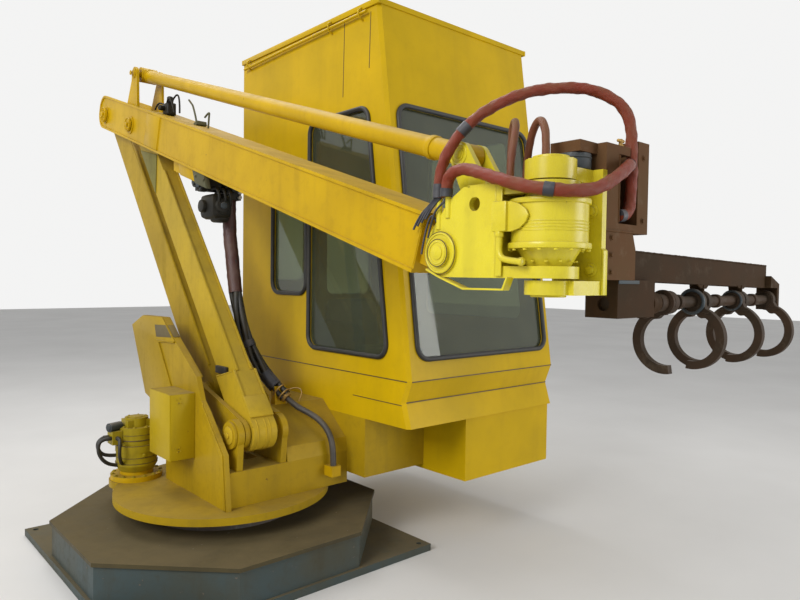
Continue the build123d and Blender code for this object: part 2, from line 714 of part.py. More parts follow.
rear_wall -= extrude(Plane.XZ.offset(-cab_back - 1) * rear_window(0), amount=cab_wall + 2)
save("cab_wall_rear", rear_wall)
door = block(door_near - door_overlap, door_far + door_overlap, cab_back, cab_back + door_thickness,
             door_low - door_overlap, door_high + door_overlap)
door_pane = Pos(door_near + door_width / 2, door_window_z) * RectangleRounded(
    door_window_width, door_window_height, window_corner)
door -= extrude(Plane.XZ.offset(-cab_back - door_thickness - 1) * door_pane, amount=door_thickness + 2)
save("cab_door", door)
save("cab_roof", block(cab_near, cab_far, front_at(roof_under) - 6, cab_back, roof_under, cab_top))
save("cab_floor", block(inside_near, inside_far, cab_front + cab_notch_depth + cab_wall, cab_back - cab_wall,
                        cab_low, cab_low + cab_floor_thickness))
glass = []
seals = []
for x_outer, sign, windows in ((cab_near, 1, near_windows), (cab_far, -1, far_windows)):
    for window in windows:
        x0 = x_outer + sign * glass_inset
        glass.append(extrude(Plane.YZ.offset(x0) * window(0), amount=sign * glass_thickness))
        ring = extrude(Plane.YZ.offset(x_outer) * window(seal_width), amount=-sign * seal_proud)
        ring -= extrude(Plane.YZ.offset(x_outer + sign) * window(0), amount=-sign * (seal_proud + 4))
        seals.append(ring)
glass.append(extrude(front_plane.offset(-glass_inset) * front_window(0), amount=-glass_thickness))
ring = extrude(front_plane * front_window(seal_width), amount=seal_proud)
ring -= extrude(front_plane.offset(-1) * front_window(0), amount=seal_proud + 4)
seals.append(ring)
glass.append(extrude(Plane.XZ.offset(-cab_back - 16) * door_pane, amount=glass_thickness))
glass.append(extrude(Plane.XZ.offset(glass_inset - cab_back) * rear_window(0), amount=glass_thickness))
ring = extrude(Plane.XZ.offset(-cab_back - seal_proud) * rear_window(seal_width), amount=seal_proud)
ring -= extrude(Plane.XZ.offset(-cab_back - seal_proud - 2) * rear_window(0), amount=seal_proud + 4)
seals.append(ring)
save("cab_glass", Compound(children=glass))
save("window_seals", Compound(children=seals))

cabinet_near = cab_near + cabinet_inset
cabinet_far = cab_far - 25
cabinet = block(cabinet_near, cabinet_far, cab_front + 20, cabinet_back, cabinet_low, cab_low)
cabinet -= block(cabinet_near + cabinet_wall, cabinet_far - cabinet_wall, cab_front + 20 + cabinet_wall,
                 cabinet_back - cabinet_wall, cabinet_low + cabinet_wall, cab_low - cabinet_wall)
save("lower_cabinet", cabinet)
save("cab_support", block(frame_far, cabinet_near, -620, 560, support_low, cab_low))

seat_pedestal = block(seat_x - 90, seat_x + 90, seat_y - 90, seat_y + 130, cab_low + cab_floor_thickness,
                      seat_height - 120)
save("seat_pedestal", seat_pedestal)
cushion = Pos(seat_x, seat_y, seat_height - 60) * Box(480, 480, 120)
save("seat_cushion", fillet(cushion.edges(), 40))
back_half = seat_back_height / 2
back_place = Pos(seat_x, seat_y + 345, seat_height + back_half - 70) * Rot(-10, 0, 0)
seat_back = back_place * Box(460, 110, seat_back_height)
save("seat_back", fillet(seat_back.edges(), 40))
seat_arm = block(seat_x - 60, seat_x + 60, seat_y + 130, seat_y + 375, seat_height - 190, seat_height - 125)
seat_arm += back_place * Pos(0, 61.3, -130) * Box(120, 12, 340)
save("seat_bracket", seat_arm)
save("control_console", slab([(seat_y - 90, cab_low + cab_floor_thickness), (seat_y - 110, console_top - 60),
                              (seat_y - 60, console_top), (seat_y + 260, console_top),
                              (seat_y + 260, console_top - 160), (seat_y + 160, console_top - 200),
                              (seat_y + 160, cab_low + cab_floor_thickness)], console_near, console_far))


# Hoses: straight runs joined by tangent arcs
def hose(name, points, radius):
    corners = []
    for a, b, c in zip(points, points[1:], points[2:]):
        before = Vector(*b) - Vector(*a)
        after = Vector(*c) - Vector(*b)
        half_turn = math.radians(before.get_angle(after) / 2)
        corners.append(0.45 * min(before.length, after.length) / math.tan(half_turn))
    path = FilletPolyline(*points, radius=corners)
    start = Plane(origin=points[0], z_dir=Vector(*points[1]) - Vector(*points[0]))
    tube = sweep(start * Circle(radius), path=path)
    ratio = tube.volume / (math.pi * radius ** 2 * path.length)
    print(name, "length", round(path.length, 1), "radii", [round(r) for r in corners], "ratio", round(ratio, 4))
    save(name, tube)


hose("hose_long", [(-126, -1912, hose_start), (-126, -1912, 1975), (-116, -1932, 2055), (-84, -1972, 2140),
                   (-26, -2032, 2215), (54, -2100, 2272), (145, -2175, 2305), (235, -2250, 2312),
                   (305, -2320, 2292), (352, -2378, 2240), (370, -2402, 2150), (368, -2402, 1910),
                   (356, -2402, 1862), (326, -2402, 1842), (286, -2402, 1840)], long_hose_radius)
hose("hose_short", [(-134, -1960, hose_start), (-134, -1960, 1950), (-143, -1988, 1986), (-154, -2060, 1994),
                    (-162, -2140, 1972), (-168, -2226, 1940), (-160, -2312, 1912), (-132, -2400, 1894), (-78, -2454, 1888),
                    (0, -2472, 1898), (88, -2476, 1925), (180, -2468, 1968), (258, -2452, 2006),
                    (306, -2432, 2018), (330, -2411, 2020)], short_hose_radius)
hose("hose_loop_back", [(82, -2150, 1934), (82, -2150, 1992), (76, -2160, 2056), (64, -2182, 2116),
                        (48, -2214, 2156), (32, -2248, 2164), (16, -2278, 2128), (4, -2292, 2070),
                        (4, -2292, 2009)], loop_hose_radius)
hose("hose_loop_front", [(-46, -2180, 1934), (-46, -2180, 1996), (-30, -2176, 2064), (-2, -2164, 2128),
                         (30, -2140, 2172), (58, -2108, 2180), (76, -2086, 2142), (84, -2076, 2078),
                         (80, -2080, 2008), (80, -2080, 1934)], loop_hose_radius)
hose("hose_bundle", [(122, 192, valve_low), (122, 192, 1900), (126, 150, 1690), (124, 108, 1490),
                     (134, 60, 1320), (164, -4, 1160), (216, -92, 1015), (262, -160, 930),
                     (292, -204, 886)], bundle_radius)
hose("hose_drop", [(292, -204, 886), (331, -261.2, 828.8), (372, -322, 800), (410, -392, 762), (436, -452, 702),
                   (444, -494, 612), (444, -494, 500)], drop_radius)
save("hose_clamps", Compound(children=[block(230, 304, -190, -144, bridge_top, 948),
                                       block(412, 476, -526, frame_front, 440, 500)]))
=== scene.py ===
import math
import random

import bmesh
import bpy
from mathutils import Matrix, Vector


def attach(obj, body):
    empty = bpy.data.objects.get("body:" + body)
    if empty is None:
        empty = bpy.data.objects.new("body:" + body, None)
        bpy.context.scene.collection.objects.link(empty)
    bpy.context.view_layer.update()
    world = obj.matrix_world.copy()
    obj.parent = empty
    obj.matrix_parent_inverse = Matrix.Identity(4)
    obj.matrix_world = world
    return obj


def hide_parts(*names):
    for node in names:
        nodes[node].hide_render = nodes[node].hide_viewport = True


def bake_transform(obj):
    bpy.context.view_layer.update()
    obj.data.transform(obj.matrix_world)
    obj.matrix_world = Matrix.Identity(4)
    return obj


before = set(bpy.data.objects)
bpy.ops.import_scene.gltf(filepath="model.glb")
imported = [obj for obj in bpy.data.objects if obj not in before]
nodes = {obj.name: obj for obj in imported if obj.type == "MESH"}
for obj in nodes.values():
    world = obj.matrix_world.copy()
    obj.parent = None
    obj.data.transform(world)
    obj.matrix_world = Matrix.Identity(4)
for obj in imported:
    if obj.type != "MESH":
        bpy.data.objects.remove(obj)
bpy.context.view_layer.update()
random.seed(7)

# camera
cameraPlace = {
    "position": (-1.873, -3.667, 1.609),
    "turnDegrees": (88.125, -0.762, -41.677),
    "lens": 30.1,
}
bpy.ops.object.select_all(action="DESELECT")
bpy.ops.object.camera_add(location=cameraPlace["position"],
                          rotation=[math.radians(a) for a in cameraPlace["turnDegrees"]])
camera = bpy.context.object
camera.name = "camera"
camera.data.sensor_width = 36.0
camera.data.lens = cameraPlace["lens"]
camera.data.clip_end = 200.0
bpy.context.scene.camera = camera
print("stage: camera")


xAxis, yAxis, zAxis = (1, 0, 0), (0, 1, 0), (0, 0, 1)


# helpers for the pieces
def clearSelection():
    if bpy.context.object and bpy.context.object.mode != "OBJECT":
        bpy.ops.object.mode_set(mode="OBJECT")
    bpy.ops.object.select_all(action="DESELECT")


def pickOnly(obj):
    clearSelection()
    obj.select_set(True)
    bpy.context.view_layer.objects.active = obj


def applyModifiers(obj):
    pickOnly(obj)
    for modifier in list(obj.modifiers):
        bpy.ops.object.modifier_apply(modifier=modifier.name)


def applyPlace(obj):
    pickOnly(obj)
    bpy.ops.object.transform_apply(location=True, rotation=True, scale=True)


def joinPieces(name, parts):
    clearSelection()
    for part in parts:
        part.select_set(True)
    bpy.context.view_layer.objects.active = parts[0]
    if len(parts) > 1:
        bpy.ops.object.join()
    joined = bpy.context.view_layer.objects.active
    joined.name = name
    return joined


# the two long hoses between the bracket and the gripper; their pieces are baked in place and attached to no body
wristTurn = {"name": "wristTurn", "bodies": ("wrist_bracket", "gripper"), "start": (-0.10, -1.95, 2.0),
             "end": (0.30, -2.38, 2.0)}


def finishPiece(obj, body, material, smoothAngle=32):
    applyModifiers(obj)
    applyPlace(obj)
    bpy.ops.object.shade_smooth_by_angle(angle=math.radians(smoothAngle))
    obj.data.materials.clear()
    obj.data.materials.append(material)
    if body == wristTurn["name"]:
        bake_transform(obj)
    else:
        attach(obj, body)
    return obj


def turnTo(axis):
    return Vector(axis).to_track_quat("Z", "Y").to_euler()


def bevelSharp(width, segments=2, angle=30):
    bpy.ops.object.mode_set(mode="EDIT")
    bpy.ops.mesh.select_mode(type="EDGE")
    bpy.ops.mesh.select_all(action="DESELECT")
    bpy.ops.mesh.edges_select_sharp(sharpness=math.radians(angle))
    bpy.ops.mesh.bevel(offset=width, segments=segments, affect="EDGES")
    bpy.ops.object.mode_set(mode="OBJECT")


def makeBlock(name, low, high, bevel=0.003, turn=(0, 0, 0)):
    clearSelection()
    middle = [(a + b) / 2 for a, b in zip(low, high)]
    bpy.ops.mesh.primitive_cube_add(size=1, location=middle, rotation=turn)
    obj = bpy.context.object
    obj.name = name
    obj.scale = [abs(b - a) for a, b in zip(low, high)]
    bpy.ops.object.transform_apply(location=False, rotation=False, scale=True)
    if bevel:
        bevelSharp(bevel)
    return obj


def makeDisc(name, centre, axis, radius, depth, sides=40, bevel=0.003):
    clearSelection()
    bpy.ops.mesh.primitive_cylinder_add(vertices=sides, radius=radius, depth=depth,
                                        location=centre, rotation=turnTo(axis))
    obj = bpy.context.object
    obj.name = name
    if bevel:
        bevelSharp(bevel, angle=45)
    return obj


def makeRing(name, centre, axis, radius, thickness, sides=48):
    clearSelection()
    bpy.ops.mesh.primitive_torus_add(location=centre, rotation=turnTo(axis), major_radius=radius,
                                     minor_radius=thickness, major_segments=sides, minor_segments=10)
    obj = bpy.context.object
    obj.name = name
    return obj


def makePlate(name, outline, normalAxis, start, end, bevel=0.003):
    # outline in the plane square to normalAxis: X gives (y, z), Y gives (x, z), Z gives (x, y)
    clearSelection()
    bpy.ops.mesh.primitive_plane_add(size=1)
    obj = bpy.context.object
    obj.name = name
    place = {"X": lambda a, b: (start, a, b), "Y": lambda a, b: (a, start, b), "Z": lambda a, b: (a, b, start)}
    shape = bmesh.new()
    face = shape.faces.new([shape.verts.new(place[normalAxis](*point)) for point in outline])
    pushed = bmesh.ops.extrude_face_region(shape, geom=[face])
    shift = {"X": (end - start, 0, 0), "Y": (0, end - start, 0), "Z": (0, 0, end - start)}[normalAxis]
    bmesh.ops.translate(shape, vec=shift, verts=[g for g in pushed["geom"] if isinstance(g, bmesh.types.BMVert)])
    bmesh.ops.recalc_face_normals(shape, faces=shape.faces)
    shape.to_mesh(obj.data)
    shape.free()
    if bevel:
        pickOnly(obj)
        bevelSharp(bevel)
    return obj


def newCurve(name, points, smooth, stops=6):
    curve = bpy.data.curves.new(name, "CURVE")
    curve.dimensions = "3D"
    spline = curve.splines.new("NURBS" if smooth else "POLY")
    spline.points.add(len(points) - 1)
    for point, place in zip(spline.points, points):
        point.co = (*place, 1.0)
    if smooth:
        spline.order_u = 3
        spline.use_endpoint_u = True
        spline.resolution_u = stops
    obj = bpy.data.objects.new(name, curve)
    bpy.context.scene.collection.objects.link(obj)
    return obj, spline


def curveToMesh(obj, radius, sides):
    obj.data.bevel_depth = radius
    obj.data.bevel_resolution = sides
    pickOnly(obj)
    bpy.ops.object.convert(target="MESH")
    return bpy.context.object


def makeRod(name, points, radius, smooth=True, wobble=0.0, sides=4):
    obj, spline = newCurve(name, points, smooth)
    obj.data.use_fill_caps = True
    for point in spline.points:
        point.radius = 1.0 + random.uniform(-wobble, wobble)
    return curveToMesh(obj, radius, sides)


def weldBead(name, start, end, radius=0.004):
    start, end = Vector(start), Vector(end)
    count = max(4, int((end - start).length / 0.012))
    points = [start.lerp(end, i / count) for i in range(count + 1)]
    return makeRod(name, points, radius, smooth=False, wobble=0.22, sides=2)


def copyPiece(obj, name, move):
    copied = obj.copy()
    copied.data = obj.data.copy()
    copied.name = name
    copied.location = copied.location + Vector(move)
    bpy.context.scene.collection.objects.link(copied)
    return copied


def boltSet(name, spots, axis, size=0.012, washer=True):
    # hexagon heads with washers, modelled once and copied to each spot
    heads = []
    along = Vector(axis).normalized()
    spots = [Vector(s) for s in spots]
    lift = size * 0.9
    first = makeDisc(name, spots[0] + along * lift / 2, axis, size, lift, sides=6, bevel=size * 0.12)
    parts = [first]
    if washer:
        parts.append(makeDisc(name + "Washer", spots[0] + along * size * 0.1, axis, size * 1.5, size * 0.24,
                              sides=20, bevel=size * 0.06))
    head = joinPieces(name, parts)
    applyPlace(head)
    heads.append(head)
    for i, spot in enumerate(spots[1:]):
        heads.append(copyPiece(head, f"{name}{i}", spot - spots[0]))
    return joinPieces(name, heads)


def circleSpots(centre, axis, radius, count, first=0.0):
    centre = Vector(centre)
    turn = Vector(axis).to_track_quat("Z", "Y")
    return [centre + turn @ Vector((radius * math.cos(first + 2 * math.pi * i / count),
                                    radius * math.sin(first + 2 * math.pi * i / count), 0))
            for i in range(count)]


# shared effects
surfaceOutputs = {"Color": "NodeSocketColor", "Roughness": "NodeSocketFloat", "Height": "NodeSocketFloat"}


def newGroup(name, inputs):
    # an effect's inputs, its places on the piece and how far its faces look up
    group = bpy.data.node_groups.new(name, "ShaderNodeTree")
    for label, value in inputs.items():
        kind = "NodeSocketColor" if isinstance(value, tuple) else "NodeSocketFloat"
        group.interface.new_socket(name=label, in_out="INPUT", socket_type=kind).default_value = value
    for label, kind in surfaceOutputs.items():
        group.interface.new_socket(name=label, in_out="OUTPUT", socket_type=kind)
    given = group.nodes.new("NodeGroupInput")
    place = group.nodes.new("ShaderNodeTexCoord")
    facing = addNode(group, "ShaderNodeSeparateXYZ")
    group.links.new(place.outputs["Normal"], facing.inputs[0])
    return group, given.outputs, place.outputs, facing.outputs["Z"]


def closeGroup(group, *values):
    out = group.nodes.new("NodeGroupOutput")
    for value, label in zip(values, surfaceOutputs):
        group.links.new(value, out.inputs[label])
    return group


def addNode(tree, kind, settings=None, **values):
    node = tree.nodes.new(kind)
    for key, value in (settings or {}).items():
        setattr(node, key, value)
    for key, value in values.items():
        node.inputs[key.replace("_", " ")].default_value = value
    return node


def noiseAt(tree, vector, scale, detail=4.0, roughness=0.55):
    noise = addNode(tree, "ShaderNodeTexNoise", Detail=detail, Roughness=roughness)
    tree.links.new(vector, noise.inputs["Vector"])
    if isinstance(scale, (int, float)):
        noise.inputs["Scale"].default_value = scale
    else:
        tree.links.new(scale, noise.inputs["Scale"])
    return noise.outputs["Fac"]


def mapTo(tree, value, low, high, outLow=0.0, outHigh=1.0):
    node = addNode(tree, "ShaderNodeMapRange")
    tree.links.new(value, node.inputs["Value"])
    for label, number in (("From Min", low), ("From Max", high), ("To Min", outLow), ("To Max", outHigh)):
        node.inputs[label].default_value = number
    return node.outputs["Result"]


def mathNode(tree, operation, a, b):
    node = addNode(tree, "ShaderNodeMath", {"operation": operation})
    for i, value in enumerate((a, b)):
        if isinstance(value, (int, float)):
            node.inputs[i].default_value = value
        else:
            tree.links.new(value, node.inputs[i])
    return node.outputs[0]


def mixColor(tree, share, a, b):
    node = addNode(tree, "ShaderNodeMix", {"data_type": "RGBA"})
    for socket, value in ((node.inputs[0], share), (node.inputs[6], a), (node.inputs[7], b)):
        if isinstance(value, (int, float, tuple)):
            socket.default_value = value
        else:
            tree.links.new(value, socket)
    return node.outputs[2]


def buildAgedPaint():
    # paint with uneven tone, dust that lies on upward faces, grime that runs down and small chips
    group, given, place, facing = newGroup("agedPaint", {
        "Paint": (0.6, 0.4, 0.02, 1),
        "Deep Tone": (0.4, 0.25, 0.01, 1),
        "Dust": (0.3, 0.24, 0.17, 1),
        "Dust Amount": 0.6,
        "Grime Amount": 0.3,
        "Chip": (0.08, 0.05, 0.03, 1),
        "Chip Amount": 0.3,
        "Sheen Roughness": 0.35,
    })
    spot = place["Object"]
    tone = mapTo(group, noiseAt(group, spot, 1.7, 3.0), 0.35, 0.7)
    color = mixColor(group, tone, given["Paint"], given["Deep Tone"])
    # streaks stretched down the wall
    stretch = addNode(group, "ShaderNodeMapping")
    stretch.inputs["Scale"].default_value = (9.0, 9.0, 1.1)
    group.links.new(spot, stretch.inputs["Vector"])
    streak = mapTo(group, noiseAt(group, stretch.outputs["Vector"], 1.0, 6.0, 0.6), 0.5, 0.78)
    fineSpot = mapTo(group, noiseAt(group, spot, 23.0, 5.0, 0.65), 0.5, 0.72)
    grime = mathNode(group, "MULTIPLY", mathNode(group, "ADD", streak, mathNode(group, "MULTIPLY", fineSpot, 0.5)),
                     given["Grime Amount"])
    color = mixColor(group, grime, color, mixColor(group, 0.6, given["Deep Tone"], (0.05, 0.04, 0.025, 1)))
    # dust on what faces up
    patch = mapTo(group, noiseAt(group, spot, 6.0, 5.0, 0.62), 0.28, 0.62, 0.45, 1.0)
    upward = mapTo(group, facing, 0.35, 0.95)
    dust = mathNode(group, "MULTIPLY", mathNode(group, "MULTIPLY", upward, patch), given["Dust Amount"])
    color = mixColor(group, dust, color, given["Dust"])
    # chips
    chipNoise = noiseAt(group, spot, 34.0, 3.0, 0.5)
    limit = mathNode(group, "SUBTRACT", 0.8, mathNode(group, "MULTIPLY", given["Chip Amount"], 0.12))
    chip = mapTo(group, mathNode(group, "SUBTRACT", chipNoise, limit), 0.0, 0.012)
    color = mixColor(group, chip, color, given["Chip"])
    rough = mathNode(group, "ADD", given["Sheen Roughness"],
                     mathNode(group, "ADD", mathNode(group, "MULTIPLY", dust, 0.5),
                              mathNode(group, "MULTIPLY", grime, 0.3)))
    height = mathNode(group, "SUBTRACT", noiseAt(group, spot, 90.0, 2.0), mathNode(group, "MULTIPLY", chip, 1.5))
    return closeGroup(group, color, rough, height)


def buildWeave():
    # crossing threads along a piece's own UV map
    group, given, place, facing = newGroup("weave", {
        "Thread": (0.4, 0.06, 0.04, 1),
        "Gap": (0.1, 0.02, 0.015, 1),
        "Dust": (0.35, 0.28, 0.22, 1),
        "Dust Amount": 0.3,
        "Across": 24.0,
    })
    split = addNode(group, "ShaderNodeSeparateXYZ")
    group.links.new(place["UV"], split.inputs[0])
    u = mathNode(group, "MULTIPLY", split.outputs["X"], given["Across"])
    v = mathNode(group, "MULTIPLY", split.outputs["Y"], given["Across"])
    first = mathNode(group, "SINE", mathNode(group, "MULTIPLY", mathNode(group, "ADD", u, v), 6.2832), 0)
    second = mathNode(group, "SINE", mathNode(group, "MULTIPLY", mathNode(group, "SUBTRACT", u, v), 6.2832), 0)
    thread = mathNode(group, "MULTIPLY", first, second)
    share = mapTo(group, thread, -0.6, 0.5)
    spot = place["Object"]
    patch = mapTo(group, noiseAt(group, spot, 9.0, 5.0, 0.6), 0.42, 0.68)
    upward = mapTo(group, facing, -0.2, 0.9, 0.25, 1.0)
    dust = mathNode(group, "MULTIPLY", mathNode(group, "MULTIPLY", patch, upward), given["Dust Amount"])
    color = mixColor(group, share, given["Gap"], given["Thread"])
    color = mixColor(group, dust, color, given["Dust"])
    rough = mathNode(group, "ADD", 0.32, mathNode(group, "MULTIPLY", dust, 0.5))
    height = mathNode(group, "ADD", share, mathNode(group, "MULTIPLY", noiseAt(group, spot, 60.0, 3.0), 0.8))
    return closeGroup(group, color, rough, height)


def buildRubberGrain():
    # matt black goods with pale dust and fine scuffs
    group, given, place, facing = newGroup("rubberGrain", {
        "Base": (0.02, 0.02, 0.02, 1),
        "Dust": (0.2, 0.17, 0.13, 1),
        "Dust Amount": 0.4,
        "Grain": 120.0,
    })
    spot = place["Object"]
    upward = mapTo(group, facing, -0.3, 0.9, 0.2, 1.0)
    patch = mapTo(group, noiseAt(group, spot, 11.0, 6.0, 0.65), 0.4, 0.7)
    dust = mathNode(group, "MULTIPLY", mathNode(group, "MULTIPLY", upward, patch), given["Dust Amount"])
    grain = noiseAt(group, spot, given["Grain"], 3.0)
    color = mixColor(group, dust, given["Base"], given["Dust"])
    rough = mathNode(group, "ADD", 0.42, mathNode(group, "ADD", mathNode(group, "MULTIPLY", dust, 0.45),
                                                 mathNode(group, "MULTIPLY", grain, 0.15)))
    return closeGroup(group, color, rough, grain)


def buildRustedSteel():
    # dull rolled steel with scale, rust bloom and rubbed patches
    group, given, place, facing = newGroup("rustedSteel", {
        "Base": (0.1, 0.06, 0.045, 1),
        "Rust": (0.2, 0.08, 0.04, 1),
        "Rubbed": (0.3, 0.26, 0.22, 1),
        "Rust Amount": 0.5,
        "Rubbed Amount": 0.3,
        "Dust Amount": 0.4,
    })
    spot = place["Object"]
    rust = mathNode(group, "MULTIPLY", mapTo(group, noiseAt(group, spot, 5.0, 7.0, 0.65), 0.4, 0.65),
                    given["Rust Amount"])
    rubbed = mathNode(group, "MULTIPLY", mapTo(group, noiseAt(group, spot, 14.0, 6.0, 0.7), 0.55, 0.75),
                      given["Rubbed Amount"])
    dust = mathNode(group, "MULTIPLY", mapTo(group, facing, 0.3, 0.95), given["Dust Amount"])
    color = mixColor(group, rust, given["Base"], given["Rust"])
    color = mixColor(group, rubbed, color, given["Rubbed"])
    color = mixColor(group, dust, color, (0.3, 0.25, 0.19, 1))
    rough = mathNode(group, "ADD", mathNode(group, "SUBTRACT", 0.62, mathNode(group, "MULTIPLY", rubbed, 0.6)),
                     mathNode(group, "MULTIPLY", dust, 0.25))
    height = noiseAt(group, spot, 45.0, 5.0, 0.7)
    return closeGroup(group, color, rough, height)


effects = {"agedPaint": buildAgedPaint(), "weave": buildWeave(), "rubberGrain": buildRubberGrain(),
           "rustedSteel": buildRustedSteel()}


def makeFinish(name, effect, *values, bumpStrength=0.1, bumpDistance=0.0006, **shaderValues):
    # values follow the order of the effect's inputs
    material = bpy.data.materials.new(name)
    material.use_nodes = True
    tree = material.node_tree
    shader = tree.nodes["Principled BSDF"]
    group = tree.nodes.new("ShaderNodeGroup")
    group.node_tree = effects[effect]
    for socket, value in zip(group.inputs, values):
        socket.default_value = (*value, 1) if isinstance(value, tuple) else value
    tree.links.new(group.outputs["Color"], shader.inputs["Base Color"])
    tree.links.new(group.outputs["Roughness"], shader.inputs["Roughness"])
    bump = addNode(tree, "ShaderNodeBump", Strength=bumpStrength, Distance=bumpDistance)
    tree.links.new(group.outputs["Height"], bump.inputs["Height"])
    tree.links.new(bump.outputs["Normal"], shader.inputs["Normal"])
    for label, value in shaderValues.items():
        shader.inputs[label.replace("_", " ")].default_value = value
    return material


dustBrown = (0.22, 0.155, 0.048)
chipBrown = (0.09, 0.045, 0.02)
plainPaint = {"Specular_IOR_Level": 0.12}
machineYellow = makeFinish("machineYellow", "agedPaint", (0.57, 0.355, 0.003), (0.43, 0.26, 0.004), dustBrown, 0.5,
    0.3, chipBrown, 0.35, 0.36, **plainPaint)
cabYellow = makeFinish("cabYellow", "agedPaint", (0.60, 0.385, 0.004), (0.48, 0.315, 0.004), dustBrown, 0.55, 0.14,
    (0.12, 0.06, 0.02), 0.05, 0.28, bumpStrength=0.05, **plainPaint)
wristYellow = makeFinish("wristYellow", "agedPaint", (0.74, 0.64, 0.03), (0.60, 0.48, 0.02), (0.33, 0.27, 0.16), 0.5,
    0.28, (0.16, 0.08, 0.03), 0.25, 0.27, bumpStrength=0.2, Specular_IOR_Level=0.4)
armYellow = makeFinish("armYellow", "agedPaint", (0.50, 0.335, 0.018), (0.38, 0.26, 0.022), (0.25, 0.19, 0.06), 0.6,
    0.34, chipBrown, 0.35, 0.42, **plainPaint)
cheekYellow = makeFinish("cheekYellow", "agedPaint", (0.42, 0.27, 0.008), (0.31, 0.20, 0.007), dustBrown, 0.6, 0.4,
    chipBrown, 0.3, 0.4, **plainPaint)
boxYellow = makeFinish("boxYellow", "agedPaint", (0.47, 0.33, 0.007), (0.39, 0.27, 0.006), (0.20, 0.14, 0.06), 0.8,
    0.2, (0.1, 0.05, 0.02), 0.1, 0.36, **plainPaint)
driveYellow = makeFinish("driveYellow", "agedPaint", (0.36, 0.27, 0.009), (0.27, 0.20, 0.008), dustBrown, 0.6, 0.5,
    chipBrown, 0.4, 0.4, **plainPaint)
baseBlue = makeFinish("baseBlue", "agedPaint", (0.055, 0.075, 0.075), (0.07, 0.062, 0.035), (0.14, 0.11, 0.06), 0.9,
    0.6, (0.12, 0.1, 0.08), 0.7, 0.45, **plainPaint)
deckSteel = makeFinish("deckSteel", "agedPaint", (0.075, 0.06, 0.028), (0.05, 0.042, 0.024), (0.13, 0.10, 0.05), 0.75,
    0.5, (0.2, 0.17, 0.13), 0.6, 0.5, bumpStrength=0.3, **plainPaint)
floorSteel = makeFinish("floorSteel", "agedPaint", (0.05, 0.05, 0.05), (0.03, 0.03, 0.03), (0.14, 0.12, 0.1), 0.7,
    0.4, (0.15, 0.14, 0.12), 0.3, 0.55)
bearingSteel = makeFinish("bearingSteel", "rustedSteel", (0.12, 0.11, 0.1), (0.11, 0.07, 0.045), (0.35, 0.33, 0.3),
    0.5, 0.4, 0.5, Metallic=0.6)
gripperBrown = makeFinish("gripperBrown", "rustedSteel", (0.115, 0.062, 0.027), (0.125, 0.052, 0.022),
    (0.20, 0.14, 0.08), 0.6, 0.3, 0.14, bumpStrength=0.25, Specular_IOR_Level=0.05)
beamBrown = makeFinish("beamBrown", "rustedSteel", (0.042, 0.025, 0.012), (0.06, 0.028, 0.012), (0.12, 0.085, 0.05),
    0.6, 0.25, 0.06, bumpStrength=0.25, Specular_IOR_Level=0.05)
clawSteel = makeFinish("clawSteel", "rustedSteel", (0.036, 0.024, 0.014), (0.065, 0.033, 0.017), (0.15, 0.115, 0.075),
    0.6, 0.35, 0.1, bumpStrength=0.35, Specular_IOR_Level=0.15)
brassFitting = makeFinish("brassFitting", "rustedSteel", (0.42, 0.27, 0.08), (0.2, 0.12, 0.05), (0.6, 0.45, 0.2), 0.4,
    0.5, 0.3, Metallic=0.8)
slateSteel = makeFinish("slateSteel", "rustedSteel", (0.042, 0.056, 0.064), (0.07, 0.05, 0.035), (0.22, 0.23, 0.24),
    0.4, 0.4, 0.35, Metallic=0.4)
oliveSteel = makeFinish("oliveSteel", "rustedSteel", (0.10, 0.105, 0.06), (0.09, 0.06, 0.03), (0.25, 0.24, 0.18), 0.4,
    0.3, 0.45, **plainPaint)
# dull olive yellow: painted greenish shade on the arm's near side
greenShadeYellow = makeFinish("greenShadeYellow", "agedPaint", (0.21, 0.19, 0.045), (0.16, 0.14, 0.04), dustBrown, 0.6, 0.5,
    chipBrown, 0.5, 0.5, **plainPaint)
redPaint = makeFinish("redPaint", "agedPaint", (0.32, 0.06, 0.02), (0.20, 0.05, 0.02), dustBrown, 0.6, 0.4, chipBrown,
    0.5, 0.5, **plainPaint)
# dark dusty brown: painted shade of a recess on the tower
recessShadePanel = makeFinish("recessShadePanel", "agedPaint", (0.16, 0.125, 0.06), (0.11, 0.09, 0.05), dustBrown, 0.8, 0.5,
    chipBrown, 0.3, 0.6, **plainPaint)
paleFitting = makeFinish("paleFitting", "agedPaint", (0.55, 0.53, 0.48), (0.42, 0.40, 0.36), dustBrown, 0.5, 0.4,
    (0.09, 0.08, 0.06), 0.3, 0.5)
sealRubber = makeFinish("sealRubber", "rubberGrain", (0.014, 0.014, 0.013), (0.12, 0.105, 0.08), 0.35)
blackHose = makeFinish("blackHose", "rubberGrain", (0.017, 0.016, 0.013), (0.12, 0.095, 0.045), 0.5, 70.0)
greyHose = makeFinish("greyHose", "rubberGrain", (0.045, 0.04, 0.034), (0.17, 0.14, 0.10), 0.7, 70.0)
blackPlastic = makeFinish("blackPlastic", "rubberGrain", (0.011, 0.0105, 0.008), (0.14, 0.11, 0.06), 0.3, 200.0,
    Specular_IOR_Level=0.25)
blackTape = makeFinish("blackTape", "rubberGrain", (0.02, 0.022, 0.03), (0.25, 0.22, 0.2), 0.6, 40.0,
    bumpStrength=0.5, bumpDistance=0.002)
# dark brown for thin lines and marks; on the cab seams and round the wrist pin it is painted shadow
shadowAndGrimeLine = makeFinish("shadowAndGrimeLine", "rubberGrain", (0.10, 0.062, 0.012), (0.05, 0.035, 0.012), 0.6, 60.0)
redSleeve = makeFinish("redSleeve", "weave", (0.29, 0.042, 0.016), (0.10, 0.016, 0.007), (0.16, 0.115, 0.05), 0.6,
    20.0, bumpStrength=0.5, bumpDistance=0.0015, Specular_IOR_Level=0.25)
dustySleeve = makeFinish("dustySleeve", "weave", (0.22, 0.07, 0.035), (0.10, 0.035, 0.02), (0.17, 0.12, 0.055), 0.9,
    20.0, bumpStrength=0.35, bumpDistance=0.001, Specular_IOR_Level=0.2)
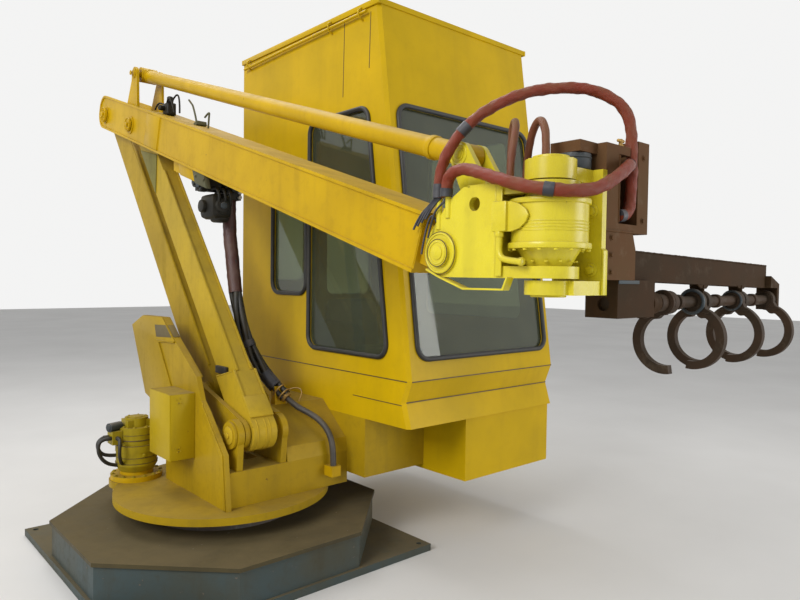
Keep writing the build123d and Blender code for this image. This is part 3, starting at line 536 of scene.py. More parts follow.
# red sleeve darkened to maroon: painted shade on the upper sleeve of the hose bundle
shadedRedSleeve = makeFinish("shadedRedSleeve", "weave", (0.075, 0.018, 0.012), (0.03, 0.008, 0.006), (0.16, 0.11, 0.08),
    0.6, 20.0, bumpStrength=0.35, bumpDistance=0.001)
seatCloth = makeFinish("seatCloth", "weave", (0.115, 0.058, 0.032), (0.05, 0.026, 0.016), (0.22, 0.17, 0.13), 0.4,
    90.0, bumpStrength=0.3, bumpDistance=0.001, Sheen_Weight=0.3)


def makeGlass():
    material = bpy.data.materials.new("cabGlass")
    material.use_nodes = True
    tree = material.node_tree
    shader = tree.nodes["Principled BSDF"]
    place = tree.nodes.new("ShaderNodeTexCoord")
    smear = mapTo(tree, noiseAt(tree, place.outputs["Object"], 3.0, 6.0, 0.6), 0.35, 0.75, 0.0, 0.05)
    film = mapTo(tree, noiseAt(tree, place.outputs["Object"], 2.0, 5.0, 0.6), 0.3, 0.8)
    tree.links.new(smear, shader.inputs["Roughness"])
    tree.links.new(mixColor(tree, film, (0.33, 0.37, 0.25, 1), (0.21, 0.24, 0.155, 1)), shader.inputs["Base Color"])
    shader.inputs["Transmission Weight"].default_value = 0.86
    shader.inputs["IOR"].default_value = 1.45
    return material


cabGlass = makeGlass()
print("stage: finishes")

nodeFinishes = {
    driveYellow: ("slew_drive",),
    baseBlue: ("base_plate", "base_housing"),
    deckSteel: ("deck_plate",),
    bearingSteel: ("slewing_ring",),
    machineYellow: ("slew_housing", "elbow_pin", "tail_pin", "boom_box", "boom_tail", "levelling_lever",
                    "tie_rod", "hose_clamps"),
    cheekYellow: ("turntable_plate", "turntable_frame", "cab_bridge", "near_cheek", "pedestal_near", "pedestal_far",
                  "cab_support", "shoulder_shaft", "crank", "rear_link", "levelling_bar"),
    armYellow: ("lower_arm",),
    boxYellow: ("junction_box",),
    cabYellow: ("cab_wall_near", "cab_wall_far", "cab_wall_front", "cab_wall_rear", "cab_door", "cab_roof",
                "lower_cabinet"),
    floorSteel: ("cab_floor", "seat_pedestal", "seat_bracket"),
    cabGlass: ("cab_glass",),
    sealRubber: ("window_seals",),
    blackPlastic: ("control_console", "valve_block"),
    wristYellow: ("wrist_bracket", "wrist_drum", "yoke"),
    gripperBrown: ("gripper_frame",),
    beamBrown: ("gripper_beam", "claw_drive"),
    clawSteel: ("claws_back", "claws_front", "claw_shaft"),
}
for finish, names in nodeFinishes.items():
    for name in names:
        nodes[name].data.materials.clear()
        nodes[name].data.materials.append(finish)

# hoses
hoseRoutes = {
    "hoseLong": {
        "node": "hose_long", "radius": 0.021, "body": "wristTurn", "finish": redSleeve, "slot": "red_sleeve",
        "crinkle": 0.15, "tapes": ((0.0, 0.035), (0.195, 0.225), (0.965, 1.0)), "tapeRadius": 0.0229,
        "points": [(-126, -1912, 1905), (-126, -1912, 1975), (-116, -1932, 2055), (-84, -1972, 2140),
                   (-26, -2032, 2215), (54, -2100, 2272), (145, -2175, 2305), (235, -2250, 2312),
                   (305, -2320, 2292), (352, -2378, 2240), (370, -2402, 2150), (368, -2402, 1910),
                   (356, -2402, 1862), (326, -2402, 1842), (286, -2402, 1840)]},
    "hoseShort": {
        "node": "hose_short", "radius": 0.022, "body": "wristTurn", "finish": redSleeve, "slot": "red_sleeve",
        "crinkle": 0.13, "tapes": ((0.0, 0.035), (0.49, 0.52), (0.965, 1.0)), "tapeRadius": 0.0239,
        "points": [(-134, -1960, 1905), (-134, -1960, 1950), (-143, -1988, 1986), (-154, -2060, 1994),
                   (-162, -2140, 1972), (-168, -2226, 1940), (-160, -2312, 1912), (-132, -2400, 1894),
                   (-78, -2454, 1888), (0, -2472, 1898), (88, -2476, 1925), (180, -2468, 1968),
                   (258, -2452, 2006), (306, -2432, 2018), (330, -2411, 2020)]},
    "hoseLoopBack": {
        "node": "hose_loop_back", "radius": 0.014, "body": "wrist_bracket", "finish": dustySleeve,
        "slot": "red_sleeve", "crinkle": 0.07,
        "points": [(82, -2150, 1934), (82, -2150, 1992), (76, -2160, 2056), (64, -2182, 2116), (48, -2214, 2156),
                   (32, -2248, 2164), (16, -2278, 2128), (4, -2292, 2070), (4, -2292, 2009)]},
    "hoseLoopFront": {
        "node": "hose_loop_front", "radius": 0.014, "body": "wrist_bracket", "finish": dustySleeve,
        "slot": "red_sleeve", "crinkle": 0.07,
        "points": [(-46, -2180, 1934), (-46, -2180, 1996), (-30, -2176, 2064), (-2, -2164, 2128),
                   (30, -2140, 2172), (58, -2108, 2180), (76, -2086, 2142), (84, -2076, 2078), (80, -2080, 2008),
                   (80, -2080, 1934)]},
    "hoseBundle": {
        "node": "hose_bundle", "radius": 0.042, "body": "turntable", "finish": blackHose, "slot": "black_hose",
        "strands": 5, "strandRadius": 0.0165, "twist": 4.2, "sleeveEnd": 0.36,
        "tapes": ((0.60, 0.61), (0.79, 0.90)), "tapeRadius": 0.0432,
        "points": [(122, 192, 2078), (122, 192, 1900), (126, 150, 1690), (124, 108, 1490), (134, 60, 1320),
                   (164, -4, 1160), (216, -92, 1015), (262, -160, 930), (292, -204, 886)]},
    "hoseDrop": {
        "node": "hose_drop", "radius": 0.018, "body": "turntable", "finish": greyHose, "slot": "black_hose",
        "crinkle": 0.02,
        "points": [(292, -204, 886), (331, -261.2, 828.8), (372, -322, 800), (410, -392, 762), (436, -452, 702),
                   (444, -494, 612), (444, -494, 500)]},
}


def routeLine(name, points):
    # points along the hose's own smooth line, read from a curve with no bevel
    obj, _ = newCurve(name + "Line", [[v / 1000 for v in place] for place in points], True, stops=12)
    bpy.context.view_layer.update()
    mesh = bpy.data.meshes.new_from_object(obj.evaluated_get(bpy.context.evaluated_depsgraph_get()))
    line = [v.co.copy() for v in mesh.vertices]
    bpy.data.objects.remove(obj)
    bpy.data.meshes.remove(mesh)
    return line


# turns along the hose per fold and waves round it, for the small folds in a wall
foldWaves = ((1.7, 2), (2.9, -3), (0.9, 1), (4.3, 5))
uvPerMetre = 10


def sweepTube(name, line, radius, sides=20, crinkle=0.0, seed=1, fold=0.03):
    # a closed tube along line with a UV map to scale and small folds in its wall
    dice = random.Random(seed)
    length = sum((b - a).length for a, b in zip(line, line[1:]))
    count = int(length / max(0.006, radius * 0.3))
    stations, walked, step, k = [line[0]], 0.0, length / count, 0
    for i in range(1, count + 1):
        target = i * step
        while k < len(line) - 2 and walked + (line[k + 1] - line[k]).length < target:
            walked += (line[k + 1] - line[k]).length
            k += 1
        share = min(1.0, (target - walked) / max(1e-9, (line[k + 1] - line[k]).length))
        stations.append(line[k].lerp(line[k + 1], share))
    phases = [dice.uniform(0, 6.28) for _ in foldWaves]
    shape = bmesh.new()
    uvLayer = shape.loops.layers.uv.new("along")
    side = (line[1] - line[0]).orthogonal().normalized()
    rings = []
    for i, centre in enumerate(stations):
        ahead = (stations[min(i + 1, count)] - stations[max(i - 1, 0)]).normalized()
        side = (side - ahead * side.dot(ahead)).normalized()
        across = ahead.cross(side)
        ring = []
        ends = min(1.0, min(i, count - i) / 4)
        for j in range(sides):
            a = 2 * math.pi * j / sides
            s = i * step / fold
            bulge = sum(math.sin(s * along + around * a + phase)
                        for (along, around), phase in zip(foldWaves, phases)) / len(foldWaves)
            r = radius * (1 + crinkle * ends * (bulge - 0.25))
            ring.append(shape.verts.new(centre + (side * math.cos(a) + across * math.sin(a)) * r))
        rings.append(ring)
    for i in range(count):
        for j in range(sides):
            n = (j + 1) % sides
            face = shape.faces.new((rings[i][j], rings[i][n], rings[i + 1][n], rings[i + 1][j]))
            for loop, (ii, jj) in zip(face.loops, ((i, j), (i, j + 1), (i + 1, j + 1), (i + 1, j))):
                loop[uvLayer].uv = (jj / sides * 2 * math.pi * radius * uvPerMetre, ii * step * uvPerMetre)
    shape.faces.new(rings[0][::-1])
    shape.faces.new(rings[-1])
    bmesh.ops.recalc_face_normals(shape, faces=shape.faces)
    mesh = bpy.data.meshes.new(name)
    shape.to_mesh(mesh)
    shape.free()
    obj = bpy.data.objects.new(name, mesh)
    bpy.context.scene.collection.objects.link(obj)
    return obj


def sweepStrands(name, line, route):
    # twisted lines inside one bundle, each swept along its own helix round the bundle's line
    lift = route["radius"] - route["strandRadius"] - 0.0015
    side = (line[1] - line[0]).orthogonal().normalized()
    walked, helixes = 0.0, [[] for _ in range(route["strands"])]
    for i, spot in enumerate(line):
        ahead = (line[min(i + 1, len(line) - 1)] - line[max(i - 1, 0)]).normalized()
        side = (side - ahead * side.dot(ahead)).normalized()
        across = ahead.cross(side)
        walked += (spot - line[i - 1]).length if i else 0.0
        for k, helix in enumerate(helixes):
            a = 2 * math.pi * k / len(helixes) + route["twist"] * walked + 0.35 * math.sin(walked * 9 + k * 2)
            helix.append(spot + (side * math.cos(a) + across * math.sin(a)) * lift)
    return joinPieces(name, [sweepTube(f"{name}{k}", helix, route["strandRadius"], sides=14, seed=k)
                             for k, helix in enumerate(helixes)])


hoseLines = {}
for seed, (name, route) in enumerate(hoseRoutes.items()):
    line = routeLine(name, route["points"])
    hoseLines[name] = line
    if "strands" in route:
        tube = sweepStrands(name, line, route)
        upper = line[:int(len(line) * route["sleeveEnd"])]
        # the bundle's upper sleeve takes the darkened red: painted shade
        sleeve = sweepTube(name + "Sleeve", upper, route["radius"], sides=28, crinkle=0.06, seed=11)
        finishPiece(sleeve, route["body"], shadedRedSleeve, smoothAngle=60)
    else:
        tube = sweepTube(name, line, route["radius"], crinkle=route["crinkle"], seed=seed + 3)
    if "tapes" in route:
        wraps = []
        for first, last in route["tapes"]:
            low = min(int(len(line) * first), len(line) - 4)
            wraps.append(sweepTube(f"{name}Tape{low}", line[low:max(low + 4, int(len(line) * last) + 1)],
                                   route["tapeRadius"], sides=24, crinkle=0.05, seed=low))
        finishPiece(joinPieces(name + "Tape", wraps), route["body"], blackTape,
                                  smoothAngle=60)
    finishPiece(tube, route["body"], route["finish"], smoothAngle=60)
    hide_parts(route["node"])
print("stage: hoses")


# seat
def fabricUv(obj):
    # weave scale in metres, taken from the face's own direction
    mesh = obj.data
    layer = mesh.uv_layers.new(name="cloth") if not mesh.uv_layers else mesh.uv_layers[0]
    for face in mesh.polygons:
        n = face.normal
        axis = max(range(3), key=lambda k: abs(n[k]))
        a, b = [k for k in range(3) if k != axis]
        for loop in face.loop_indices:
            co = mesh.vertices[mesh.loops[loop].vertex_index].co
            layer.data[loop].uv = (co[a], co[b])


padShape = {
    "cuts": 22, "corner": 0.28, "edgePower": 6, "edgeDrop": 0.42, "sagAt": 0.1, "sagSpread": 3, "waist": 0.05,
    "endWaist": 0.02, "channelDepth": 0.009, "channelWidth": 0.045,
}


def softPad(name, size, middle, turn, crown, sag, nodeName, channels):
    clearSelection()
    bpy.ops.mesh.primitive_cube_add(size=1, location=(0, 0, 0))
    pad = bpy.context.object
    pad.name = name
    pad.scale = size
    bpy.ops.object.transform_apply(location=False, rotation=False, scale=True)
    bpy.ops.object.mode_set(mode="EDIT")
    bpy.ops.mesh.subdivide(number_cuts=padShape["cuts"])
    bpy.ops.object.mode_set(mode="OBJECT")
    half, corner = [s / 2 for s in size], padShape["corner"]
    for v in pad.data.vertices:
        u, w, t = v.co.x / half[0], v.co.y / half[1], v.co.z / half[2]
        # rounded corners
        du, dw = max(0, abs(u) - (1 - corner)) / corner, max(0, abs(w) - (1 - corner)) / corner
        reach = math.hypot(du, dw)
        if reach > 1:
            v.co.x -= math.copysign((du - du / reach) * corner * half[0], u)
            v.co.y -= math.copysign((dw - dw / reach) * corner * half[1], w)
        edge = max(abs(u), abs(w)) ** padShape["edgePower"]
        v.co.z *= 1 - padShape["edgeDrop"] * edge
        # crown, sag and stitched channels on the upper face only
        if t > 0:
            v.co.z += crown * (1 - u * u) * (1 - w * w)
            v.co.z -= sag * math.exp(-((u - padShape["sagAt"]) ** 2 + w ** 2) * padShape["sagSpread"])
            for place in channels:
                dip = math.exp(-((w - place) / padShape["channelWidth"]) ** 2)
                v.co.z -= padShape["channelDepth"] * dip * (1 - edge)
        v.co.x *= 1 - padShape["endWaist"] * (1 - abs(t)) * abs(u)
        v.co.y *= 1 - padShape["waist"] * (1 - abs(t)) if abs(w) > 0.9 else 1
    pad.rotation_euler = turn
    pad.location = middle
    smooth = pad.modifiers.new("smooth", "SUBSURF")
    smooth.levels = smooth.render_levels = 1
    finishPiece(pad, "turntable", seatCloth, smoothAngle=60)
    fabricUv(pad)
    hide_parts(nodeName)


softPad("seatCushion", (0.47, 0.47, 0.10), (1.25, 0.03, 1.062), (0, 0, 0), 0.012, 0.02,
        "seat_cushion", (-0.35, 0.3))
softPad("seatBack", (0.45, 0.385, 0.095), (1.25, 0.375, 1.255), (math.radians(80), 0, 0), 0.008, 0.008,
        "seat_back", (-0.4, 0.1))
print("stage: seat")

# cab
cabTrim = {
    "near": 0.58, "far": 1.89, "front": -1.0, "back": 0.857, "top": 3.2,
    "waist": 1.04, "fold": 0.92, "foldDepth": 0.045, "foldSide": 0.905, "lean": 0.306 / 2.16,
    "seamWidth": 0.006, "seamProud": 0.0016,
    "panelSeams": ((-0.37, 2.70, 3.15), (-0.62, 2.82, 3.14)),
    "rodRadius": 0.009, "rodHeight": 3.128,
}


def frontAt(z):
    return cabTrim["front"] + cabTrim["lean"] * (z - cabTrim["waist"])


def seamStrip(name, start, end, outward, width, proud):
    # a lap of sheet metal: a thin strip that stands a little proud of the wall
    start, end, outward = Vector(start), Vector(end), Vector(outward).normalized()
    along = (end - start).normalized()
    across = along.cross(outward).normalized()
    clearSelection()
    bpy.ops.mesh.primitive_cube_add(size=1)
    strip = bpy.context.object
    strip.name = name
    basis = Matrix((along, across, outward)).transposed().to_4x4()
    basis.translation = (start + end) / 2 + outward * (proud / 2 - 0.0004)
    strip.data.transform(Matrix.Diagonal(((end - start).length, width, proud + 0.0008, 1)))
    strip.data.transform(basis)
    return strip


def makeCabSeams():
    # laps of sheet metal on the sides and the front, drawn as dark strips: painted shadow along each lap
    t = cabTrim
    width, proud, ahead = t["seamWidth"], t["seamProud"], (0, -1, 0)
    strips = []
    for label, x, side in (("", t["near"], (-1, 0, 0)), ("Far", t["far"], xAxis)):
        strips.append(seamStrip("seamSide" + label, (x, t["front"] + 0.02, t["waist"]),
                                (x, t["back"] - 0.01, t["waist"]),
                                side, width, proud))
        for y, low, high in t["panelSeams"]:
            strips.append(seamStrip(f"seam{label}Up{int(-y * 100)}", (x, y, low), (x, y - 0.01, high), side,
                                    width * 0.8, proud))
    strips.append(seamStrip("seamFold", (t["near"], t["front"] + 0.06, t["foldSide"]), (t["near"], -0.5, t["foldSide"]),
                            (-1, 0, 0), width * 0.8, proud))
    for name, y, z, lift in (("seamFrontWaist", t["front"], t["waist"], 0.002),
                             ("seamFrontFold", t["front"] + t["foldDepth"], t["fold"], 0.003)):
        strips.append(seamStrip(name, (t["near"] + 0.02, y - 0.001, z), (t["far"] - 0.02, y - 0.001, z), ahead, width,
                                lift))
    # the strips take the dark line colour: painted shadow lines of the laps
    finishPiece(joinPieces("cabSeams", strips), "turntable", shadowAndGrimeLine)


def makeRoofTrim():
    # the folded roof lip on three sides, and the rain rod with its hooks
    t = cabTrim
    z, lip, depth, gap = t["top"], 0.012, 0.034, 0.0005
    near, far, back = t["near"], t["far"], t["back"]
    front = frontAt(z - 0.03) - lip
    lips = [makeBlock("lipNear", (near - lip, front, z - depth), (near - gap, back, z)),
            makeBlock("lipFar", (far + gap, front, z - depth), (far + lip, back, z)),
            makeBlock("lipBack", (near - lip, back + gap, z - depth), (far + lip, back + lip, z))]
    finishPiece(joinPieces("roofLips", lips), "turntable", cabYellow)
    x, rodAt = near - 0.026, t["rodHeight"]
    rod = [makeRod("rainRod", [(x, 0.80, rodAt - 0.01), (x, 0.4, rodAt), (x, 0.0, rodAt + 0.004),
                               (x, -0.62, rodAt + 0.012)], t["rodRadius"])]
    for y in (0.74, -0.26, -0.56):
        rod.append(makeRod(f"rodHook{int(y * 100)}", [(near + 0.004, y, z - 0.02), (x - 0.012, y, z - 0.028),
                                                     (x - 0.014, y, rodAt - 0.014), (near + 0.004, y, rodAt - 0.022)],
                           0.005))
    finishPiece(joinPieces("rainRod", rod), "turntable", cabYellow, smoothAngle=50)


def roundedOutline(corners, radius, steps=7):
    points = []
    count = len(corners)
    for i, corner in enumerate(corners):
        here = Vector((*corner, 0))
        before = (Vector((*corners[i - 1], 0)) - here).normalized()
        after = (Vector((*corners[(i + 1) % count], 0)) - here).normalized()
        half = before.angle(after) / 2
        reach = radius / math.tan(half)
        centre = here + (before + after).normalized() * (radius / math.sin(half))
        start, end = here + before * reach - centre, here + after * reach - centre
        turn = start.angle(end)
        sign = 1 if start.cross(end).z > 0 else -1
        for k in range(steps + 1):
            point = centre + Matrix.Rotation(sign * turn * k / steps, 3, "Z") @ start
            points.append((point.x, point.y))
    return points


windowSeals = {
    "radius": 0.0145, "corner": 0.078, "out": 0.006, "grow": 0.009, "sill": 1.165, "head": 2.59, "farSill": 1.33,
    "side": (-0.81, -0.035), "far": (-0.77, 0.21), "front": (0.665, 1.805), "quarter": (0.014, 0.414, 1.508, 2.33),
    "rear": (1.33, 1.80, 1.47, 2.40), "doorPane": (0.76, 1.14, 1.58, 2.48), "doorGrow": 0.006,
}


def grownPane(a0, a1, b0, b1, by):
    return [(a0 - by, b0 - by), (a1 + by, b0 - by), (a1 + by, b1 + by), (a0 - by, b1 + by)]


def makeSeal(name, corners, toWorld):
    outline = roundedOutline(corners, windowSeals["corner"])
    obj, spline = newCurve(name, [toWorld(a, b) for a, b in outline], False)
    spline.use_cyclic_u = True
    return curveToMesh(obj, windowSeals["radius"], 3)


def makeWindowSeals():
    t, s = cabTrim, windowSeals
    g, out, sill, head = s["grow"], s["out"], s["sill"], s["head"]
    lean = math.atan(t["lean"])
    sine, cosine = math.sin(lean), math.cos(lean)

    def leaningPane(front, back, low):
        # a side pane whose front edge leans with the front wall
        edge = lambda z: front + t["lean"] * (z - sill) - g
        return [(edge(low - g), low - g), (back + g, low - g), (back + g, head + g), (edge(head + g), head + g)]

    frontPane = grownPane(*s["front"], (sill - t["waist"]) / cosine, (head - t["waist"]) / cosine, g)
    onNear = lambda a, b: (t["near"] - out, a, b)
    seals = [
        makeSeal("sealSide", leaningPane(*s["side"], sill), onNear),
        makeSeal("sealQuarter", grownPane(*s["quarter"], g), onNear),
        makeSeal("sealFar", leaningPane(*s["far"], s["farSill"]), lambda a, b: (t["far"] + out, a, b)),
        makeSeal("sealRear", grownPane(*s["rear"], g), lambda a, b: (a, t["back"] + out, b)),
        makeSeal("sealFront", frontPane, lambda a, b: (a, t["front"] + b * sine - out * cosine,
                                                       t["waist"] + b * cosine + out * sine)),
    ]
    seal = finishPiece(joinPieces("windowSeals", seals), "turntable", sealRubber, smoothAngle=60)
    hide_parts("window_seals")


rearDoor = {"thickness": 0.024, "gripAt": 1.19, "hingeAt": 0.612, "hinges": (1.05, 1.85, 2.65)}


def makeRearDoorFittings():
    d = rearDoor
    y, x, edge = cabTrim["back"] + d["thickness"], d["gripAt"], d["hingeAt"]
    grip = [(0, 1.62), (0.05, 1.62), (0.055, 1.66), (0.055, 1.92), (0.05, 1.96), (0, 1.96)]
    parts = [makeRod("doorGrip", [(x, y + out, z) for out, z in grip], 0.011),
             makeBlock("latchPlate", (x - 0.025, y - 0.001, 1.45), (x + 0.025, y + 0.006, 1.58)),
             makeDisc("latchKnob", (x, y + 0.02, 1.515), yAxis, 0.016, 0.03)]
    finishPiece(joinPieces("doorGrip", parts), "turntable", blackPlastic, smoothAngle=45)
    hinges = []
    for z in d["hinges"]:
        hinges.append(makeDisc(f"hinge{int(z * 100)}", (edge, y + 0.002, z), zAxis, 0.012, 0.13, sides=20))
        hinges.append(makeBlock(f"hingeLeaf{int(z * 100)}", (edge, y - 0.001, z - 0.055),
                                (0.68, y + 0.004, z + 0.055), 0.002))
    finishPiece(joinPieces("doorHinges", hinges), "turntable", cabYellow, smoothAngle=45)
    seal = makeSeal("doorGlassSeal", grownPane(*windowSeals["doorPane"], windowSeals["doorGrow"]),
                    lambda a, b: (a, y + 0.003, b))
    finishPiece(seal, "turntable", sealRubber, smoothAngle=60)


makeCabSeams()
makeRoofTrim()
makeWindowSeals()
makeRearDoorFittings()
print("stage: cab")

# the yaw drum's rings, cap and bolts
wristFittings = {"axis": (0.0, -2.315), "capUnder": 2.009, "boltLevel": 1.7115, "boltCircle": 0.131}


def makeWristFittings():
    x, y = wristFittings["axis"]
    parts = []
    # two flange rings, the top cap and a ring of bolts on the yaw drum
    for name, z, radius, height in (("drumTop", 1.868, 0.136, 0.018), ("drumLow", 1.722, 0.139, 0.02)):
        parts.append(makeDisc(name, (x, y, z), zAxis, radius, height, sides=64, bevel=0.003))
    parts.append(makeDisc("topCap", (x, y, wristFittings["capUnder"] + 0.006), zAxis, 0.062, 0.014, sides=48))
    rings = joinPieces("drumRings", parts)
    finishPiece(rings, "wrist_bracket", wristYellow)
    bolts = boltSet("drumBolts", circleSpots((x, y, wristFittings["boltLevel"]), (0, 0, -1),
                                              wristFittings["boltCircle"], 16), (0, 0, -1), 0.007, washer=False)
    finishPiece(bolts, "wrist_bracket", wristYellow)


makeWristFittings()
print("stage: wrist")


def makeFitting(name, body, finish, shapes, smoothAngle=35):
    # one piece from a list of shapes, each a helper and its values
    parts = [shape(f"{name}{i}", *values) for i, (shape, *values) in enumerate(shapes)]
    return finishPiece(joinPieces(name, parts), body, finish, smoothAngle)


linkage = {"shoulder": (-0.380, 0.746), "elbow": (1.225, 2.678), "wrist": (-1.930, 1.703), "tail": (1.7352, 2.8357),
           "crank": (0.1302, 0.9037), "tiePin": (1.205, 3.043), "tieEnd": (-1.950, 2.068)}


def alongLine(start, end):
    # places (y, z) at a distance along a link and an offset square to it
    (y0, z0), (y1, z1) = linkage[start], linkage[end]
    length = math.hypot(y1 - y0, z1 - z0)
    u, w = (y1 - y0) / length, (z1 - z0) / length
    return lambda d, o: (y0 + u * d + w * o, z0 + w * d - u * o)


boomAt, armAt, linkAt = alongLine("elbow", "wrist"), alongLine("shoulder", "elbow"), alongLine("crank", "tail")


def strip(place, d0, d1, o0, o1):
    return [place(d0, o0), place(d1, o0), place(d1, o1), place(d0, o1)]


def capShapes(pivot, x, side, radius, count, bolt):
    # a raised rim, a centre nub and a ring of bolts on the end of a pin
    y, z = linkage[pivot]
    return [(makeRing, (x + side * 0.001, y, z), (side, 0, 0), radius, 0.004),
            (makeDisc, (x + side * 0.006, y, z), (side, 0, 0), radius * 0.36, 0.012, 24),
            (boltSet, circleSpots((x, y, z), (side, 0, 0), radius * 0.68, count, 0.4), (side, 0, 0), bolt)]


boomTrim = {"web": 0.117, "plateStart": 0.30, "plateEnd": 0.532, "noseEnd": 3.16, "weld": 0.0035}


def makeBoomTrim():
    # doubler plates, welds and pin caps of the boom, bands and red end of the tie rod
    t = boomTrim
    for side, label in ((-1, "Near"), (1, "Far")):
        web, out = side * t["web"], side * (t["web"] + 0.0074)
        makeFitting("tailDoubler" + label, "boom", machineYellow, [
            (makePlate, strip(boomAt, t["plateStart"], t["plateEnd"], -0.092, 0.123), "X", web, out, 0.003)])
        welds = [(weldBead, (web, *boomAt(d, -0.090)), (web, *boomAt(d, 0.121)), t["weld"])
                 for d in (t["plateStart"], t["plateEnd"] + 0.002, t["noseEnd"])]
        for high, share in ((0.124, 0.103), (-0.093, -0.103)):
            welds.append((weldBead, (web, *boomAt(0.54, high)), (web, *boomAt(t["noseEnd"], share)), t["weld"] * 0.8))
        makeFitting("boomWelds" + label, "boom", machineYellow, welds, 60)
        makeFitting("tailCap" + label, "rear_pin", machineYellow,
                    capShapes("tail", side * 0.143, side, 0.052, 6, 0.008))
        makeFitting("elbowCap" + label, "lower_arm", machineYellow,
                    capShapes("elbow", side * 0.141, side, 0.044, 3, 0.006))
        makeFitting("leverPinCap" + label, "levelling_lever", machineYellow,
                    [(makeDisc, (side * 0.101, *linkage["tiePin"]), xAxis, 0.034, 0.006, 32),
                     (makeDisc, (side * 0.124, *linkage["tiePin"]), xAxis, 0.017, 0.006, 24),
                     (makeDisc, (side * 0.1005, *linkage["elbow"]), xAxis, 0.070, 0.005, 40)])
    # the bands at the end of the tie rod, seen below the lever pin
    rodAt, tieAxis = alongLine("tiePin", "tieEnd"), (0, -0.9554, -0.2953)
    bands = [(makeDisc, (0, *rodAt(d, 0)), tieAxis, r, w, 48)
             for d, r, w in ((0.012, 0.0485, 0.03), (0.055, 0.0485, 0.012), (3.10, 0.0485, 0.03))]
    makeFitting("tieRodBands", "tie_rod", machineYellow, bands)
    makeFitting("tieRodRedEnd", "tie_rod", redPaint,
                [(makeDisc, (0, *rodAt(-0.04, 0)), tieAxis, 0.0475, 0.05, 48)])


def makeBoomGoods():
    # small pipes, valves and brackets that ride on the boom
    makeFitting("boomPipes", "boom", oliveSteel, [
        (makeRod, [(0, *boomAt(0.83, 0.132)), (0, 0.408, 2.609), (0, 0.45, 2.69), (0, 0.468, 2.708),
                   (0, 0.513, 2.742)], 0.006),
        (makeRod, [(0.03, *boomAt(0.93, 0.132)), (0.03, 0.288, 2.60), (0.03, 0.28, 2.627), (0.03, 0.31, 2.622),
                   (0.03, 0.345, 2.607)], 0.006),
        (makeBlock, (-0.02, 0.355, 2.548), (0.05, 0.43, 2.575), 0.004, (math.radians(-17), 0, 0))])
    lump = [(makeBlock, (-0.035, 0.775, 2.69), (0.03, 0.86, 2.775), 0.010),
            (makeDisc, (-0.005, 0.80, 2.788), (0.2, 0.3, 1), 0.022, 0.05, 20),
            (makeDisc, (-0.045, 0.83, 2.74), (1, 0.2, 0), 0.018, 0.05, 20)]
    for points in ([(0.0, 0.86, 2.76), (-0.01, 0.93, 2.80), (-0.02, 0.98, 2.80), (-0.02, 1.02, 2.768)],
                   [(0.0, 0.86, 2.74), (0.01, 0.92, 2.755), (0.03, 0.97, 2.79), (0.02, 1.01, 2.77)],
                   [(-0.03, 0.79, 2.77), (-0.04, 0.75, 2.80), (-0.03, 0.71, 2.77), (-0.02, 0.70, 2.69)],
                   [(0.0, 0.78, 2.78), (0.01, 0.74, 2.83), (0.02, 0.70, 2.80), (0.01, 0.68, 2.69)]):
        lump.append((makeRod, points, 0.006))
    makeFitting("boomConnectors", "boom", blackPlastic, lump, 45)
    makeFitting("boomBracket", "boom", oliveSteel, [
        (makePlate, [boomAt(1.085, -0.109), boomAt(1.25, -0.109), (0.03, 2.118), (0.184, 2.165)], "X", -0.112,
         -0.0785, 0.004),
        (boltSet, [(-0.112, 0.165, 2.205), (-0.112, 0.06, 2.17)], (-1, 0, 0), 0.008)])
    makeFitting("boomBox", "boom", machineYellow, [
        (makePlate, [boomAt(0.855, -0.109), boomAt(1.084, -0.109), (0.190, 2.172), (0.408, 2.238)], "X", -0.106,
         -0.03, 0.005),
        (weldBead, (-0.106, *boomAt(0.855, -0.111)), (-0.106, *boomAt(1.084, -0.111)), 0.004)])
    valves = [(makeBlock, (-0.050, 0.075, 1.955), (0.088, 0.262, 2.105), 0.034),
              (makeBlock, (-0.010, 0.095, 1.935), (0.080, 0.200, 1.990), 0.020),
              (makeDisc, (0.012, 0.070, 2.03), yAxis, 0.042, 0.04, 32),
              (makeDisc, (-0.055, 0.18, 2.03), xAxis, 0.038, 0.04, 32),
              (makeRing, (-0.0745, 0.196, 2.174), xAxis, 0.046, 0.005),
              (makeDisc, (0.112, 0.108, 2.15), yAxis, 0.030, 0.03, 32),
              (makeDisc, (0.060, 0.105, 2.115), yAxis, 0.018, 0.036, 6)]
    for x in (-0.02, 0.02, 0.055):
        valves.append((makeRod, [(x, 0.15, 2.13), (x, 0.085, 2.14), (x, 0.050, 2.11), (x + 0.005, 0.048, 2.06),
                                 (x + 0.01, 0.09, 1.985)], 0.009))
    makeFitting("valveParts", "boom", blackPlastic, valves, 45)
    makeFitting("valveCaps", "boom", slateSteel, [
        (makeDisc, (-0.080, 0.196, 2.174), xAxis, 0.030, 0.012, 32),
        (makeDisc, (-0.070, 0.286, 2.188), xAxis, 0.022, 0.012, 6),
        (makeDisc, (0.012, 0.046, 2.03), yAxis, 0.022, 0.014, 6),
        (boltSet, circleSpots((-0.074, 0.196, 2.174), (-1, 0, 0), 0.044, 5), (-1, 0, 0), 0.006),
        (boltSet, [(0.08, 0.12, 2.10), (0.145, 0.12, 2.10), (0.145, 0.12, 2.17)], (0, -1, 0), 0.007)])
    makeFitting("whitePlugs", "boom", paleFitting, [
        (makeDisc, (0.150, 0.110, 2.125), yAxis, 0.012, 0.022, 20),
        (makeDisc, (0.150, 0.110, 2.095), yAxis, 0.012, 0.022, 20)])


armTrim = {"footEnd": 0.345, "armEnd": 1.96, "front": -0.095, "footFront": -0.098, "proud": 0.009, "flange": 0.013}


